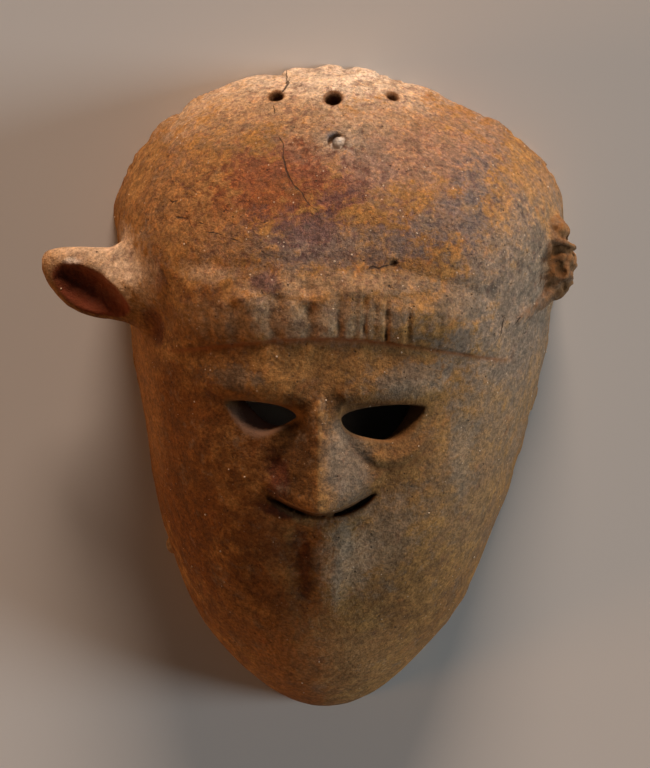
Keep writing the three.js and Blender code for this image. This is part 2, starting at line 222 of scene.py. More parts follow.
# Place across the face, depth and half width of each groove
LOCK_GROOVES = [
    (-37.5, 0.3, 1.0), (-31.6, 0.6, 0.9), (-28.6, 0.5, 1.2), (-24.0, 1.2, 2.6), (-13.0, 1.4, 2.5),
    (-10.2, 0.3, 0.9), (-3.3, 1.4, 2.3), (0.2, 0.2, 0.8), (4.7, 0.9, 1.3), (9.6, 0.3, 1.0),
    (12.0, 0.7, 0.7), (15.0, 0.3, 0.8), (18.1, 1.0, 0.7), (24.3, 0.7, 0.7), (28.4, 0.3, 1.4),
    (33.0, 0.5, 0.9), (38.8, 0.3, 1.0), (45.4, 0.4, 1.0), (50.4, 0.6, 1.0),
]


def fringe_line(x):
    """Middle line of the fringe and half its width, which is wider towards the surviving ear"""
    middle = FRINGE_Y - np.where(x < 0, 0.0039, 0.0052) * x * x
    half = FRINGE_HALF + np.where(x < 0, 0.00055, -0.0008) * x * x
    return middle, half


def fringe_ends(x, left_start, right_start):
    """1 along the fringe, fading to 0 at its two ends"""
    out = np.where(x < 0, -x / FRINGE_LEFT_END, x / FRINGE_RIGHT_END)
    return 1 - ramp(out, np.where(x < 0, left_start, right_start), 1.04)


def fringe(x, y):
    middle, half = fringe_line(x)
    t = (y - middle) / half
    foot = 0.9 + 0.7 * hump(x - 5, 24)
    roll = ramp(t, -1.08, -0.94) * (1 - ramp(t + 0.25 * DENT((x, y, 20.0)), 0.2, 1.15))
    dome = np.clip(1 - ((t - 0.12) / 1.15) ** 2, 0, 1) ** 1.4
    lean = x - (0.0022 * x - 0.02) * (y - middle)
    groove = 0
    for place, depth, width in LOCK_GROOVES:
        groove = np.maximum(groove, depth * hump(lean - place, width))
    face = ramp(t, -1.15, -0.8) * (1 - ramp(t + 0.6 * CRUMB((x * 0.6, y * 0.6, 3.0)), -0.1, 1.0))
    crease = 0.2 * hump(t - 1.2, 0.2) + 0.2 * hump(t + 1.12, 0.07)
    worn = np.clip(0.8 + 0.5 * CRUMB((x * 0.5, y * 0.5, 9.0)), 0.4, 1.1)
    lumps = 0.55 * CRUMB((x * 0.55, y * 0.55, 30.0)) * ramp(t, -0.4, 0.4) * (1 - ramp(t, 0.8, 1.5))
    lift = roll * foot + (FRINGE_LIFT - foot) * dome - groove * worn * face - crease + lumps
    return fringe_ends(x, 0.82, 0.55) * lift


# Where a thin line of painted shade goes, along the steep foot of the fringe
def fringe_shade_line(x, y):
    middle, half = fringe_line(x)
    return fringe_ends(x, 0.86, 0.86) * hump((y - middle) / half + 1.08, 0.07 + 0.05 * hump(x - 2, 12))


print("grooves between the locks:", len(LOCK_GROOVES))

# %% [markdown]
# The brows slant down to a frown over the nose, and the eye sockets sink under them. Below the right
# eye there is a full bag; below the left one it is worn almost flat.


# %% Brows, eye sockets and bags
BROW_LIFT = 1.2
# Places outwards from the middle, and where the crest of the brow is at each of them
BROW_CREST = ([0, 6, 11, 16, 26, 34, 42], [14.5, 17.6, 19.2, 19.8, 20.2, 19.6, 16])
SOCKET_DEPTH = 1.3
CORNER_DEPTH = 1.8
TEMPLE_DEPTH = 0.6
BAG_X = 20
BAG_Y = -1.9
RIGHT_BAG = 0.75
LEFT_BAG = 0.12


def brows(x, y):
    out = np.abs(x)
    crest = np.interp(out, *BROW_CREST)
    height = BROW_LIFT * ramp(out, 1, 7) * (1 - ramp(out, 27, 42))
    above = y - crest
    frown = 0.8 * hump(x - 3.2, 3.6) * hump(y - 16.0, 4)
    return height * hump(above, np.where(above > 0, 7.0, 4.4)) - frown


def sockets(x, y):
    out = np.abs(x)
    bowl = SOCKET_DEPTH * hump(out - 18, 12) * hump(y - 9, 6.5)
    corner = CORNER_DEPTH * hump(out - 8, 3.6) * hump(y - 9, 5)
    temple = TEMPLE_DEPTH * hump(out - 38.5, 3.4) * ramp(y, -6, 4) * (1 - ramp(y, 22, 32))
    return -bowl - corner - temple


def bag_line(x, y):
    """How far a point is above the crest of the bag under an eye, and how full the bag is there"""
    return y - BAG_Y - 0.055 * (x - BAG_X) ** 2, ramp(x, 7, 18) * (1 - ramp(x, 26, 34))


def eye_bag(x, y, height):
    above, full = bag_line(x, y)
    return full * height * (hump(above, 2.4) - 0.35 * hump(above + 3.3, 1.2))


print("lift at the inner corner of the right eye, mm:", round(float(sockets(8.0, 9.0)), 1))

# %% [markdown]
# The nose is a wedge with a clear ridge that widens into the upper lip. Under it the mouth is a thin
# smiling slit, and a tapering strip of clay hangs below it for the beard.


# %% Nose, lips and beard
MOUTH_Y = -18.6
MOUTH_TILT = 0.04
MOUTH_SMILE = 0.0262
# Places up the face, and the height, the half width or the middle at each of them
NOSE_HEIGHT = (
    [-20, -14, -11, -8, -4, 2, 8, 14, 19, 25],
    [7.6, 8.8, 9.0, 8.8, 7.9, 6.2, 4.4, 2.6, 0.8, 0.0],
)
NOSE_HALF = ([-16, -9, -5, 1, 7, 12, 17], [15.3, 15.6, 14.4, 9.6, 6.2, 5.2, 5.4])
BEARD_MIDDLE = ([-47, -30, -20], [0.9, 1.6, 2.6])
BEARD_HALF = ([-56, -47, -30, -20], [4.2, 5.6, 6.7, 5.4])
BEARD_LIFT = 1.4
BEARD_GROOVE = 0.6
LIP_LIFT = 3.4


def mouth_line(x):
    return MOUTH_Y + MOUTH_TILT * x + MOUTH_SMILE * x * x


def nose(x, y):
    height = np.interp(y, *NOSE_HEIGHT)
    half = np.interp(y, *NOSE_HALF)
    side = x + 0.8
    half = half * np.where(side < 0, 0.9, 1.08)
    t = np.sqrt((side / half) ** 2 + 0.003) - 0.045
    ridge = np.clip(1 - t, 0, 1) ** np.where(side < 0, 1.7, 1.35)
    bridge = height * (0.86 * ridge + 0.14 * (1 - ramp(t, 0.55, 1)))
    wing = np.where(side < 0, 0.3, 0.35) * hump(np.abs(side) - 10.7, 3.6) * hump(y + 8.2, 4)
    dent = 1.1 * hump(x + 12.2, 2.0) * hump(y + 4.5, 3.6)
    above = y - mouth_line(x)
    lip = LIP_LIFT * np.clip(1 - (x / 18.5) ** 2, 0, 1) * hump(above - 4, 4)
    mass = np.maximum(bridge, lip) + 0.3 * np.minimum(bridge, lip) + wing - dent
    return mass * ramp(above, 0.3, 4.4)


def lower_lip(x, y):
    below = y - mouth_line(x)
    groove = 0.8 * hump(below + 0.4, 1.5) * ramp(x, -17, -12) * (1 - ramp(x, -7, 0))
    return hump(below + 3.4, 1.8) * np.clip(1 - (x / 15) ** 2, 0, 1) - groove


def goatee(x, y):
    middle = np.interp(y, *BEARD_MIDDLE)
    half = np.interp(y, *BEARD_HALF)
    left = x < middle
    across = 1 - ramp(np.abs(x - middle) / half, np.where(left, 0.1, 0.4), np.where(left, 1.7, 1.3))
    along = ramp(y, -60, -40) * (1 - ramp(y, -26, -20))
    groove = hump(x - middle + 1.2 * half, 3.2) * ramp(y, -52, -34) * (1 - ramp(y, -26, -20))
    return BEARD_LIFT * across * along - BEARD_GROOVE * groove


print("nose lift at its tip, mm:", round(float(nose(0.0, -11.0)), 1))


# %% [markdown]
# The hollow where the left ear meets the head is pressed in, and then all the lifts are added up. The
# inner side of the shell is plainer: it only follows the nose and the fringe with two soft swells.


# %% All the relief together
EAR_PIT = (-49.5, 31.5)
EAR_PIT_DEPTH = 4.6


def ear_pit(x, y):
    return -EAR_PIT_DEPTH * hump(x - EAR_PIT[0], 4.6) * hump(y - EAR_PIT[1], 5)


def relief(x, y):
    eyes = brows(x, y) + sockets(x, y) + eye_bag(x, y, RIGHT_BAG) + eye_bag(-x, y, LEFT_BAG)
    return fringe(x, y) + eyes + nose(x, y) + lower_lip(x, y) + goatee(x, y) + ear_pit(x, y)


def inside_relief(x, y):
    return 3 * hump(x, 10) * hump(y + 6, 10) + 1.5 * hump(x, 50) * hump(y - 42, 12)


print("lift in the ear pit, mm:", round(float(ear_pit(*EAR_PIT)), 1))

# %% [markdown]
# ## Ears
#
# A silenus has the ears of a horse. The left one is a pointed leaf of clay, thumbed hollow on the side
# that faces down. The right one broke away long ago, and only its crumbled root is left.


# %% The ear and the ear root
# Where the leaf leaves the head, how far it reaches out, and its middle and half sizes there
EAR_FROM_X = -61
EAR_REACH = 22.3
EAR_MIDDLE = (40.9, 29)
EAR_HALF = (10.7, 5.6)
# How much the leaf bends towards the crown at its tip, and how blunt the tip is
EAR_BEND = 5.2
EAR_TIP = 2.7


def ear(p):
    x, y, z = p
    along = np.maximum((EAR_FROM_X - x) / EAR_REACH, 0)
    grow = np.clip(x + 63, 0, 20)
    across = np.abs(y - EAR_MIDDLE[0] - EAR_BEND * along**3) / (EAR_HALF[0] + 0.22 * grow)
    deep = np.abs(z - EAR_MIDDLE[1] + 1.5 * along) / (EAR_HALF[1] + 0.2 * grow)
    form = along**EAR_TIP + across**2 + deep**2 - 1
    steep = EAR_TIP * along ** (EAR_TIP - 1) / EAR_REACH
    slope = np.sqrt(steep**2 + (2 * across / 11) ** 2 + (2 * deep / 5.8) ** 2)
    leaf = np.maximum(form / np.maximum(slope, 0.05), x + 48)
    return join(leaf, rod(p, (-58, 40.5, 28), (-49, 42, 34), 9, 7), 4)


EAR_HOLLOW = {"centre": (-70.5, 37.2, 38.2), "half": (15.0, 8.2, 8.8), "turn": math.radians(27)}


def ear_hollow(p):
    turn = EAR_HOLLOW["turn"]
    dx, dy, dz = (p[i] - EAR_HOLLOW["centre"][i] for i in range(3))
    dy = dy + 0.35 * dz
    u = dx * math.cos(turn) - dy * math.sin(turn)
    v = dx * math.sin(turn) + dy * math.cos(turn)
    return ellipsoid((u, v, dz), (0, 0, 0), EAR_HOLLOW["half"])


print("ear tip at x", EAR_FROM_X - EAR_REACH, "mm")


# %% [markdown]
# The ear root is a lump with a keel running down the cheek. Two thin folds of torn clay and a crumb
# stand up from it, and seven short scoops between them make the ragged break.


# %% The broken ear root
# Start, end and radius at both of each fold
TORN_FOLDS = [
    ((65.4, 53.6, 23.6), (68.6, 52.4, 22.4), 1.3, 1.3),
    ((68.6, 52.4, 22.4), (72.0, 50.0, 18.5), 1.3, 1.0),
]
# Start, end and radius of each scoop
SCOOPS = [
    ((66.4, 51.6, 25.0), (73.5, 48.8, 19.5), 1.1),
    ((64.6, 54.6, 26.0), (65.2, 52.6, 25.0), 0.8),
    ((61.6, 53.2, 28.0), (61.8, 49.4, 27.5), 1.5),
    ((63.6, 49.0, 27.0), (66.2, 46.8, 25.5), 1.3),
    ((67.6, 46.6, 25.0), (69.2, 43.8, 24.0), 1.7),
    ((63.0, 46.4, 27.5), (64.6, 44.0, 26.5), 1.1),
    ((64.4, 40.6, 25.5), (60.4, 37.0, 33.0), 1.0),
]


def stump(p):
    mass = join(
        ellipsoid(p, (65.2, 44.5, 15.5), (8.0, 9.6, 9.6)),
        rod(p, (67, 38, 15), (54.5, 34, 38.5), 3.8, 1.6),
        4,
    )
    mass = join(mass, ellipsoid(p, (65.6, 54.6, 17), (4.9, 4.6, 7.5)), 1.2)
    mass = mass - 0.5 * np.sin(0.9 * p[1] + 0.6 * p[2]) * np.sin(0.8 * p[2] - 0.7 * p[0] + 1)
    mass = mass + 0.6 * CRUMB(tuple(1.3 * axis for axis in p))
    for fold in TORN_FOLDS:
        mass = join(mass, rod(p, *fold), 0.6)
    mass = join(mass, ellipsoid(p, (63.6, 51.2, 24.5), (1.9, 2.4, 2.2)), 0.7)
    for start, end, radius in SCOOPS:
        mass = carve(mass, rod(p, start, end, radius, radius), 0.7)
    return mass


print("folds of torn clay:", len(TORN_FOLDS), "and scoops in the break:", len(SCOOPS))

# %% [markdown]
# ## Cuts
#
# The eyes are almond openings cut right through the wall. The blade was held at a slant, so each
# opening is a little smaller and shifted on the inside, and its lower edge shows as a bevel. The mouth
# is a narrow curved slit, and the three cord holes taper inwards.

# %% Eyes and mouth
EYES = [
    {
        "front": ((-6.8, 10.3), (-31, 13.3), (2.9, 0.42, 1.0), (5.9, 0.56, 1.9)),
        "back": ((-7.7, 8.8), (-24.7, 13.6), (2.6, 0.4, 1.3), (3.1, 0.38, 1.4)),
    },
    {
        "front": ((5.4, 9.6), (30.4, 13.5), (2.9, 0.25, 1.0), (7.9, 0.62, 0.9)),
        "back": ((5.2, 7.1), (27.7, 12.3), (3.0, 0.4, 1.2), (7.1, 0.5, 1.9)),
    },
]
EYE_FRONT_Z = 61.5
EYE_BACK_Z = 58
# Where each cord hole meets the outside, and its radius
HOLES = [((-14.9, 93.6, 16.3), 2.3), ((1.8, 93.7, 19.7), 2.8), ((18.7, 92.9, 13.0), 1.75)]
HOLE_DEPTH = 14
PIT = ((3.2, 84.6, 36.7), 2.8)
PIT_DEPTH = 2.4
PEBBLE = ((3.8, 83.5, 35.5), (1.8, 2.0, 1.5))


def almond_edge(start, end, bow, t, side):
    """Height of one edge of an almond, a part t of the way from its inner corner to its outer one"""
    reach, peak, sharp = bow
    rise, fall = sharp * peak, sharp * (1 - peak)
    full = (t + 1e-6) ** rise * (1 - t + 1e-6) ** fall / (peak**rise * (1 - peak) ** fall)
    return start[1] + (end[1] - start[1]) * t + side * reach * full


def eye(p, shape):
    x, y, z = p
    front, back = shape["front"], shape["back"]
    sunk = np.clip((EYE_FRONT_Z - z) / (EYE_FRONT_Z - EYE_BACK_Z), -0.8, 1.8)
    from_x, to_x = (front[k][0] + (back[k][0] - front[k][0]) * sunk for k in (0, 1))
    t = (x - from_x) / (to_x - from_x)
    inside = np.clip(t, 0, 1)
    edges = []
    for part, side in ((2, 1), (3, -1)):
        near, far = (almond_edge(cut[0], cut[1], cut[part], inside, side) for cut in (front, back))
        edges.append(near + (far - near) * sunk)
    gap = np.maximum(y - edges[0], edges[1] - y) * 0.85
    past = (np.abs(t - 0.5) - 0.5) * np.abs(to_x - from_x)
    return np.where(past > 0, np.hypot(np.maximum(gap, 0), past), gap)


MOUTH_HALF_WIDTH = 15.2
MOUTH_LEAN = 0.16
MOUTH_FRONT_Z = 65
MOUTH_BACK_Z = 40
# Places across the mouth, and half its opening at each of them
MOUTH_PLACES = [-15.2, -12, -7, -2, 2, 6, 11, 14, 15.2]
MOUTH_HALF_OPEN = [0.5, 1.3, 1.1, 0.35, 0.3, 0.65, 1.0, 0.8, 0.1]


def mouth(p):
    """The slit goes through the wall at the right, and closes within the wall at the left"""
    x, y, z = p
    half = np.interp(x, MOUTH_PLACES, MOUTH_HALF_OPEN)
    closing = 0.3 * (1 - ramp(x, -1, 4)) * np.clip(62.5 - z, 0, 8)
    gap = np.abs(y - mouth_line(x) - MOUTH_LEAN * (z - MOUTH_FRONT_Z)) - half + closing
    return np.maximum(np.maximum(gap, np.abs(x) - MOUTH_HALF_WIDTH), MOUTH_BACK_Z - z)


print("eye openings:", len(EYES), "and a mouth", 2 * MOUTH_HALF_WIDTH, "mm wide")


# %% [markdown]
# A cord hole is pushed in square to the wall. The slope of the plain dome gives that direction. The
# holes are a little taller than wide and open out at the surface, as a stick leaves them.


# %% Cord holes and pit
def head_normal(point):
    point = np.array(point, float)
    nudge = np.eye(3) * 0.05
    slope = [head(tuple((point + d)[:, None])) - head(tuple((point - d)[:, None])) for d in nudge]
    slope = np.array(slope).ravel()
    return slope / np.linalg.norm(slope)


def bore(p, centre, radius, inward, outward=8):
    normal = head_normal(centre)
    offset = [p[i] - centre[i] for i in range(3)]
    along = sum(offset[i] * normal[i] for i in range(3))
    across = np.sqrt(np.maximum(sum(o * o for o in offset) - along**2 + 0.9 * offset[0] ** 2, 0))
    side = 0.8 * (across - 1.12 * radius) - 0.12 * np.clip(along + 1.5, 0, 3)
    return np.maximum(np.maximum(side, along - outward), -inward - along)


print("cord holes, mm across:", [2 * radius for _, radius in HOLES])

# %% [markdown]
# ## Age
#
# What time did to the clay: the rim is nibbled all round, the surface has slow dents and a gritty
# crumb, which is coarser on the crown, and one grey lump is stuck to the left edge. A bite is gone
# from the edge above the left cord hole, where a crack runs in.

# %% Worn skin and nibbled rim
EDGE_LUMP = ((-48.6, -49.6, 2.4), (1.7, 2.5, 2.2))
EDGE_BITES = [
    ((-13.6, 100.2, 1.5), 1.6),
    ((64.9, 70.0, 1.5), 1.2),
    ((-63.0, -14.0, 0.5), 1.3),
    ((50.5, -47.0, 0.5), 1.5),
]
SMALL_PITS = [((19.9, 55.0, 63.2), 1.3), ((-38.6, 64.5, 49.0), 0.6), ((-43.4, 67.7, 41.9), 0.5)]


def wear(p):
    coarse = 0.5 + 0.6 * ramp(p[1], 26, 44)
    return 0.32 * SWELL(p) + coarse * (0.22 * DENT(p) + 0.2 * CRUMB(p))


def rim_wear(p):
    near = 1 - ramp(p[2], 1, 9)
    wave = 0.5 * SWELL((p[0] * 1.6, p[1] * 1.6, p[2] * 0.5))
    bites = np.maximum(DENT(p) - 0.1, 0) * 1.1 + np.maximum(CRUMB(p) - 0.1, 0) * 1.2
    return near * (wave + 0.8 * bites - 0.25)


print("bites in the edge:", len(EDGE_BITES), "and small pits:", len(SMALL_PITS))

# %% [markdown]
# ## The whole mask
#
# Clay first, then the cuts, in the order the potter would have worked.


# %% All the clay in one function
def mask(p):
    x, y, z = p
    lift = relief(x, y)
    outside = head((x, y, z - lift))
    clay = join(outside, ear(p), 7)
    clay = carve(clay, ear_hollow(p), 1.6)
    clay = join(clay, stump(p), 3)
    clay = join(clay, ellipsoid(p, *EDGE_LUMP), 0.8)
    clay = clay + wear(p) + rim_wear(p)
    inside = head((x, y, z - inside_relief(x, y))) + WALL + 0.45 * SWELL((x, y + 70, z))
    clay = carve(clay, inside, 1.2)
    for shape in EYES:
        clay = carve(clay, eye(p, shape), 1.9)
    clay = carve(clay, mouth(p), 0.9)
    for centre, radius in HOLES:
        clay = carve(clay, bore(p, centre, radius, HOLE_DEPTH), 0.9)
    clay = carve(clay, bore(p, *PIT, PIT_DEPTH), 0.9)
    clay = np.minimum(clay, ellipsoid(p, *PEBBLE))
    for centre, radius in EDGE_BITES + SMALL_PITS:
        clay = carve(clay, ellipsoid(p, centre, (radius, radius, radius)), 0.5)
    return -join(-clay, z, 0.8)


# A line straight down through the wall, a little above the fringe
LINE_STEP = 0.1
down = np.arange(40, 80, LINE_STEP)
met = mask(np.array([np.full(len(down), 12.0), np.full(len(down), 62.0), down])) < 0
print("clay met on that line, mm:", round(LINE_STEP * int(met.sum()), 1))

# %% [markdown]
# ## From function to mesh
#
# Space is cut into small cubes. Cubes far from the clay are skipped after one coarse look. In every
# cube that the surface passes through, one vertex is put at the middle of the crossings, and four
# neighbouring vertices make a face. This is the method called surface nets, and it gives a closed
# skin. Blender's own sculpting and booleans could make the mask too, but a function can be measured
# and changed by its numbers, and one skin has no seams between the pieces.

# %% Look at the function on a grid
CELL = 0.7
BLOCK = 4
CLOSE = 5.0
LOW = np.array([-90.0, -106.0, -3.5])
HIGH = np.array([82.0, 106.0, 84.0])


def field():
    blocks = np.ceil((HIGH - LOW) / (CELL * BLOCK)).astype(int)
    centres = [LOW[i] + CELL * (BLOCK * np.arange(blocks[i]) + (BLOCK - 1) / 2) for i in range(3)]
    coarse = mask(np.meshgrid(*centres, indexing="ij"))
    values = np.repeat(np.repeat(np.repeat(coarse, BLOCK, 0), BLOCK, 1), BLOCK, 2).astype(np.float32)
    near = np.argwhere(np.abs(coarse) < CLOSE)
    cell = np.stack(np.meshgrid(*[np.arange(BLOCK)] * 3, indexing="ij"), -1).reshape(-1, 3)
    for part in np.array_split(near, 8):
        index = (part[:, None, :] * BLOCK + cell[None]).reshape(-1, 3)
        point = LOW + index * CELL
        values[index[:, 0], index[:, 1], index[:, 2]] = mask(point.T)
    print("grid", values.shape, "of which looked at closely", round(len(near) / coarse.size, 3))
    return values


# %% [markdown]
# In the few places where two bits of clay would touch only along an edge of the grid, the skin would
# cross itself there. One more corner is filled with clay, and then the net is laid.


# %% Net the surface
def fill_corners(values, rounds=4):
    """Where clay would touch clay only along an edge, fill one corner, so that the skin stays closed"""
    filled = 0
    for _ in range(rounds):
        for across, up in ((0, 1), (0, 2), (1, 2)):
            corner = []
            for first, second in ((0, 0), (0, 1), (1, 0), (1, 1)):
                cut = [slice(None)] * 3
                cut[across] = slice(first, first - 1 or None)
                cut[up] = slice(second, second - 1 or None)
                corner.append(values[tuple(cut)])
            near, side, other, far = corner
            meeting = (near < 0) & (far < 0) & (side >= 0) & (other >= 0)
            side[meeting] = -0.01
            parting = (near >= 0) & (far >= 0) & (side < 0) & (other < 0)
            near[parting] = -0.01
            filled += int(meeting.sum() + parting.sum())
    print("corners filled", filled)


def surface_nets(values):
    clay = values < 0
    shape = np.array(values.shape) - 1
    count = sum(
        clay[a : a + shape[0], b : b + shape[1], c : c + shape[2]].astype(np.int8)
        for a in (0, 1)
        for b in (0, 1)
        for c in (0, 1)
    )
    crossed = (count > 0) & (count < 8)
    cells = np.argwhere(crossed)
    number = np.full(crossed.shape, -1, np.int64)
    number[crossed] = np.arange(len(cells))
    total, hits = np.zeros((len(cells), 3)), np.zeros(len(cells))
    for corner in range(8):
        start = np.array([corner >> k & 1 for k in range(3)])
        for axis in range(3):
            if start[axis]:
                continue
            end = start.copy()
            end[axis] = 1
            v0, v1 = (values[tuple((cells + c).T)] for c in (start, end))
            cross = (v0 < 0) != (v1 < 0)
            t = np.where(cross, v0 / np.where(cross, v0 - v1, 1), 0)
            spot = np.tile(start.astype(float), (len(cells), 1))
            spot[:, axis] = t
            total += spot * cross[:, None]
            hits += cross
    points = LOW + (cells + total / hits[:, None]) * CELL
    faces = []
    for axis in range(3):
        side = [k for k in range(3) if k != axis]
        inner = [slice(1, -1)] * 3
        inner[axis] = slice(0, -1)
        after = list(inner)
        after[axis] = slice(1, None)
        first, second = clay[tuple(inner)], clay[tuple(after)]
        edges = np.argwhere(first != second)
        leaving = first[first != second]
        edges[:, side] += 1
        ring = []
        for back in ((1, 1), (0, 1), (0, 0), (1, 0)):
            cell = edges.copy()
            cell[:, side] -= back
            ring.append(number[tuple(cell.T)])
        ring = np.stack(ring, 1)
        flip = leaving if axis == 1 else ~leaving
        ring[flip] = ring[flip][:, ::-1]
        faces.append(ring)
    return points, np.concatenate(faces)


# %% [markdown]
# Each vertex is then moved along the slope of the function until it lies on the surface, which takes
# away the stair steps of the grid.


# %% Settle the vertices and make the skin
NUDGE = 0.06


def settle(points, rounds=2):
    nudge = np.eye(3) * NUDGE
    for _ in range(rounds):
        value = mask(points.T)
        slope = np.stack([(mask((points + d).T) - mask((points - d).T)) / (2 * NUDGE) for d in nudge], 1)
        size = np.maximum((slope**2).sum(1), 0.2)
        points = points - np.clip(0.9 * value / size, -0.5, 0.5)[:, None] * slope
    return points


values = field()
fill_corners(values)
points, faces = surface_nets(values)
points = settle(points)
points[:, 2] = np.maximum(points[:, 2], 0)
print("vertices", len(points), "faces", len(faces), "extent mm", np.ptp(points, axis=0).round(1))

# %% [markdown]
# The skin is now thinned out where it is plain, such as the inside of the shell, so that the triangles
# stay where the detail is. Thinning can pinch off a tiny bubble at the bottom of the mouth slit, so
# only the largest run of faces that share edges is kept.

# %% Thin the skin out
MOST_TRIANGLES = 190000


def add_object(name, data):
    made = bpy.data.objects.new(name, data)
    bpy.context.scene.collection.objects.link(made)
    return made


def skin_mesh(name, points, faces):
    mesh = bpy.data.meshes.new(name)
    mesh.from_pydata(((points + [FACE_X, FACE_Y, 0]) * MM).tolist(), [], faces.tolist())
    mesh.update()
    return mesh


def make_plain(made):
    """Turn what the modifiers of an object make into its own plain mesh, and take them off"""
    plain = bpy.data.meshes.new_from_object(made.evaluated_get(bpy.context.evaluated_depsgraph_get()))
    made.modifiers.clear()
    made.data = plain


def drop_bubbles(mesh):
    """Keep the one skin of the mask, and drop any bubble that thinning closed off inside the clay"""
    skin = bmesh.new()
    skin.from_mesh(mesh)
    skin.faces.ensure_lookup_table()
    beside = np.array([[face.index for face in edge.link_faces] for edge in skin.edges])
    label, lower = None, np.arange(len(skin.faces))
    while label is None or (lower != label).any():
        label = lower
        low = label[beside].min(1)
        lower = label.copy()
        np.minimum.at(lower, beside[:, 0], low)
        np.minimum.at(lower, beside[:, 1], low)
        lower = lower[lower][lower]
    loose = np.flatnonzero(label != np.bincount(label).argmax())
    bmesh.ops.delete(skin, geom=[skin.faces[i] for i in loose], context="FACES")
    skin.to_mesh(mesh)
    skin.free()
    print("faces of bubbles dropped", len(loose))


clay = add_object("fired_clay", skin_mesh("fired_clay", points, faces))
thin = clay.modifiers.new("thin out", "DECIMATE")
thin.ratio = min(1.0, MOST_TRIANGLES / (2 * len(faces)))
make_plain(clay)
drop_bubbles(clay.data)
clay.data.shade_smooth()
print("triangles", sum(len(f.vertices) - 2 for f in clay.data.polygons))

# %% [markdown]
# ## Marks for the finish
#
# Some colours follow the making and the breaking of the clay, so they are worked out once for every
# vertex and kept with the mesh:
#
# - The mark of grooves and corners is high where dirt gathers, and it is also painted shade for the shade
#   that falls there.
# - `inside` is high on the back, which is plainer and is painted nearly black as painted shade, for the
#   little light that reaches it.
# - `broken` is high on the stump, where the core of the clay shows.
# - `pocket`, `cut`, `slit` and `bored` follow the hollow of the ear, the eyes, the mouth and the cord
#   holes, and `crease` the seam under the fringe and the fold under the right eye. All five are painted
#   shade, darkening recesses and the undersides of steps where shade falls; on the left eye's bevel
#   part of `cut` is lightened instead, as painted light.
# - `pebble` is high on the sunny side of the stone in the pit.

# %% Marks on the skin
count = len(clay.data.vertices)
place = np.empty(count * 3, np.float32)
clay.data.vertices.foreach_get("co", place)
place = place.reshape(-1, 3) / MM - [FACE_X, FACE_Y, 0]
normal = np.empty(count * 3, np.float32)
clay.data.vertices.foreach_get("normal", normal)
normal = normal.reshape(-1, 3)


def mark(name, values):
    layer = clay.data.attributes.new(name, "FLOAT", "POINT")
    layer.data.foreach_set("value", np.clip(values, 0, 1).astype(np.float32))
    print(name, "mean", round(float(np.clip(values, 0, 1).mean()), 3))


# Grooves and corners: dirt gathers there, and this mark also paints the shade that falls there
around = [np.clip(-mask((place + normal * reach).T) + reach, 0, reach) / reach for reach in (1.5, 3.5)]
mark("dirt_and_shade", sum(around) / 2 * 1.6)
# The back of the shell, to be painted nearly black as painted shade
inner_gap = head(tuple(place.T)) + WALL
mark("inside", 1 - ramp(inner_gap, 1.5, 3.5))
mark("broken", 1 - ramp(stump(place.T), 0.2, 1.2))
# Painted shade: the hollow of the ear, to be darkened
mark("pocket", 1 - ramp(np.abs(ear_hollow(place.T)), 0.3, 1.2))
# Painted shade: the walls of the eye openings, to be darkened
cuts = [np.abs(eye(place.T, shape)) for shape in EYES]
mark("cut", 1 - ramp(np.minimum.reduce(cuts), 0.6, 1.6))
# Painted shade: the walls of the mouth slit, to be darkened
mark("slit", 1 - ramp(mouth(place.T), 0.3, 0.9))
# Painted shade: the walls of the cord holes, to be darkened
bores = [np.abs(bore(place.T, centre, radius, HOLE_DEPTH)) for centre, radius in HOLES]
mark("bored", 1 - ramp(np.minimum.reduce(bores), 0.3, 0.9))
sunny_side = ramp(place[:, 0] - place[:, 1] + 81.4, -1.2, 0.6)
mark("pebble", sunny_side * (1 - ramp(ellipsoid(place.T, *PEBBLE), 0.2, 0.6)))
# Painted shade: a thin line under the fringe's foot and under the bag of the right eye
bag_above, bag_full = bag_line(place[:, 0], place[:, 1])
mark("crease", fringe_shade_line(place[:, 0], place[:, 1]) + 0.55 * bag_full * hump(bag_above + 3.2, 0.55))

# %% [markdown]
# Cracks are thinner than the triangles of the mesh, so they can't be cut into it. Each is drawn as a
# chain of points, as seen from above. Every vertex keeps two numbers: how far it lies to the left or
# right of the nearest chain, and how wide that chain is there. The material then finds the exact line
# between the vertices, where the distance passes through zero.

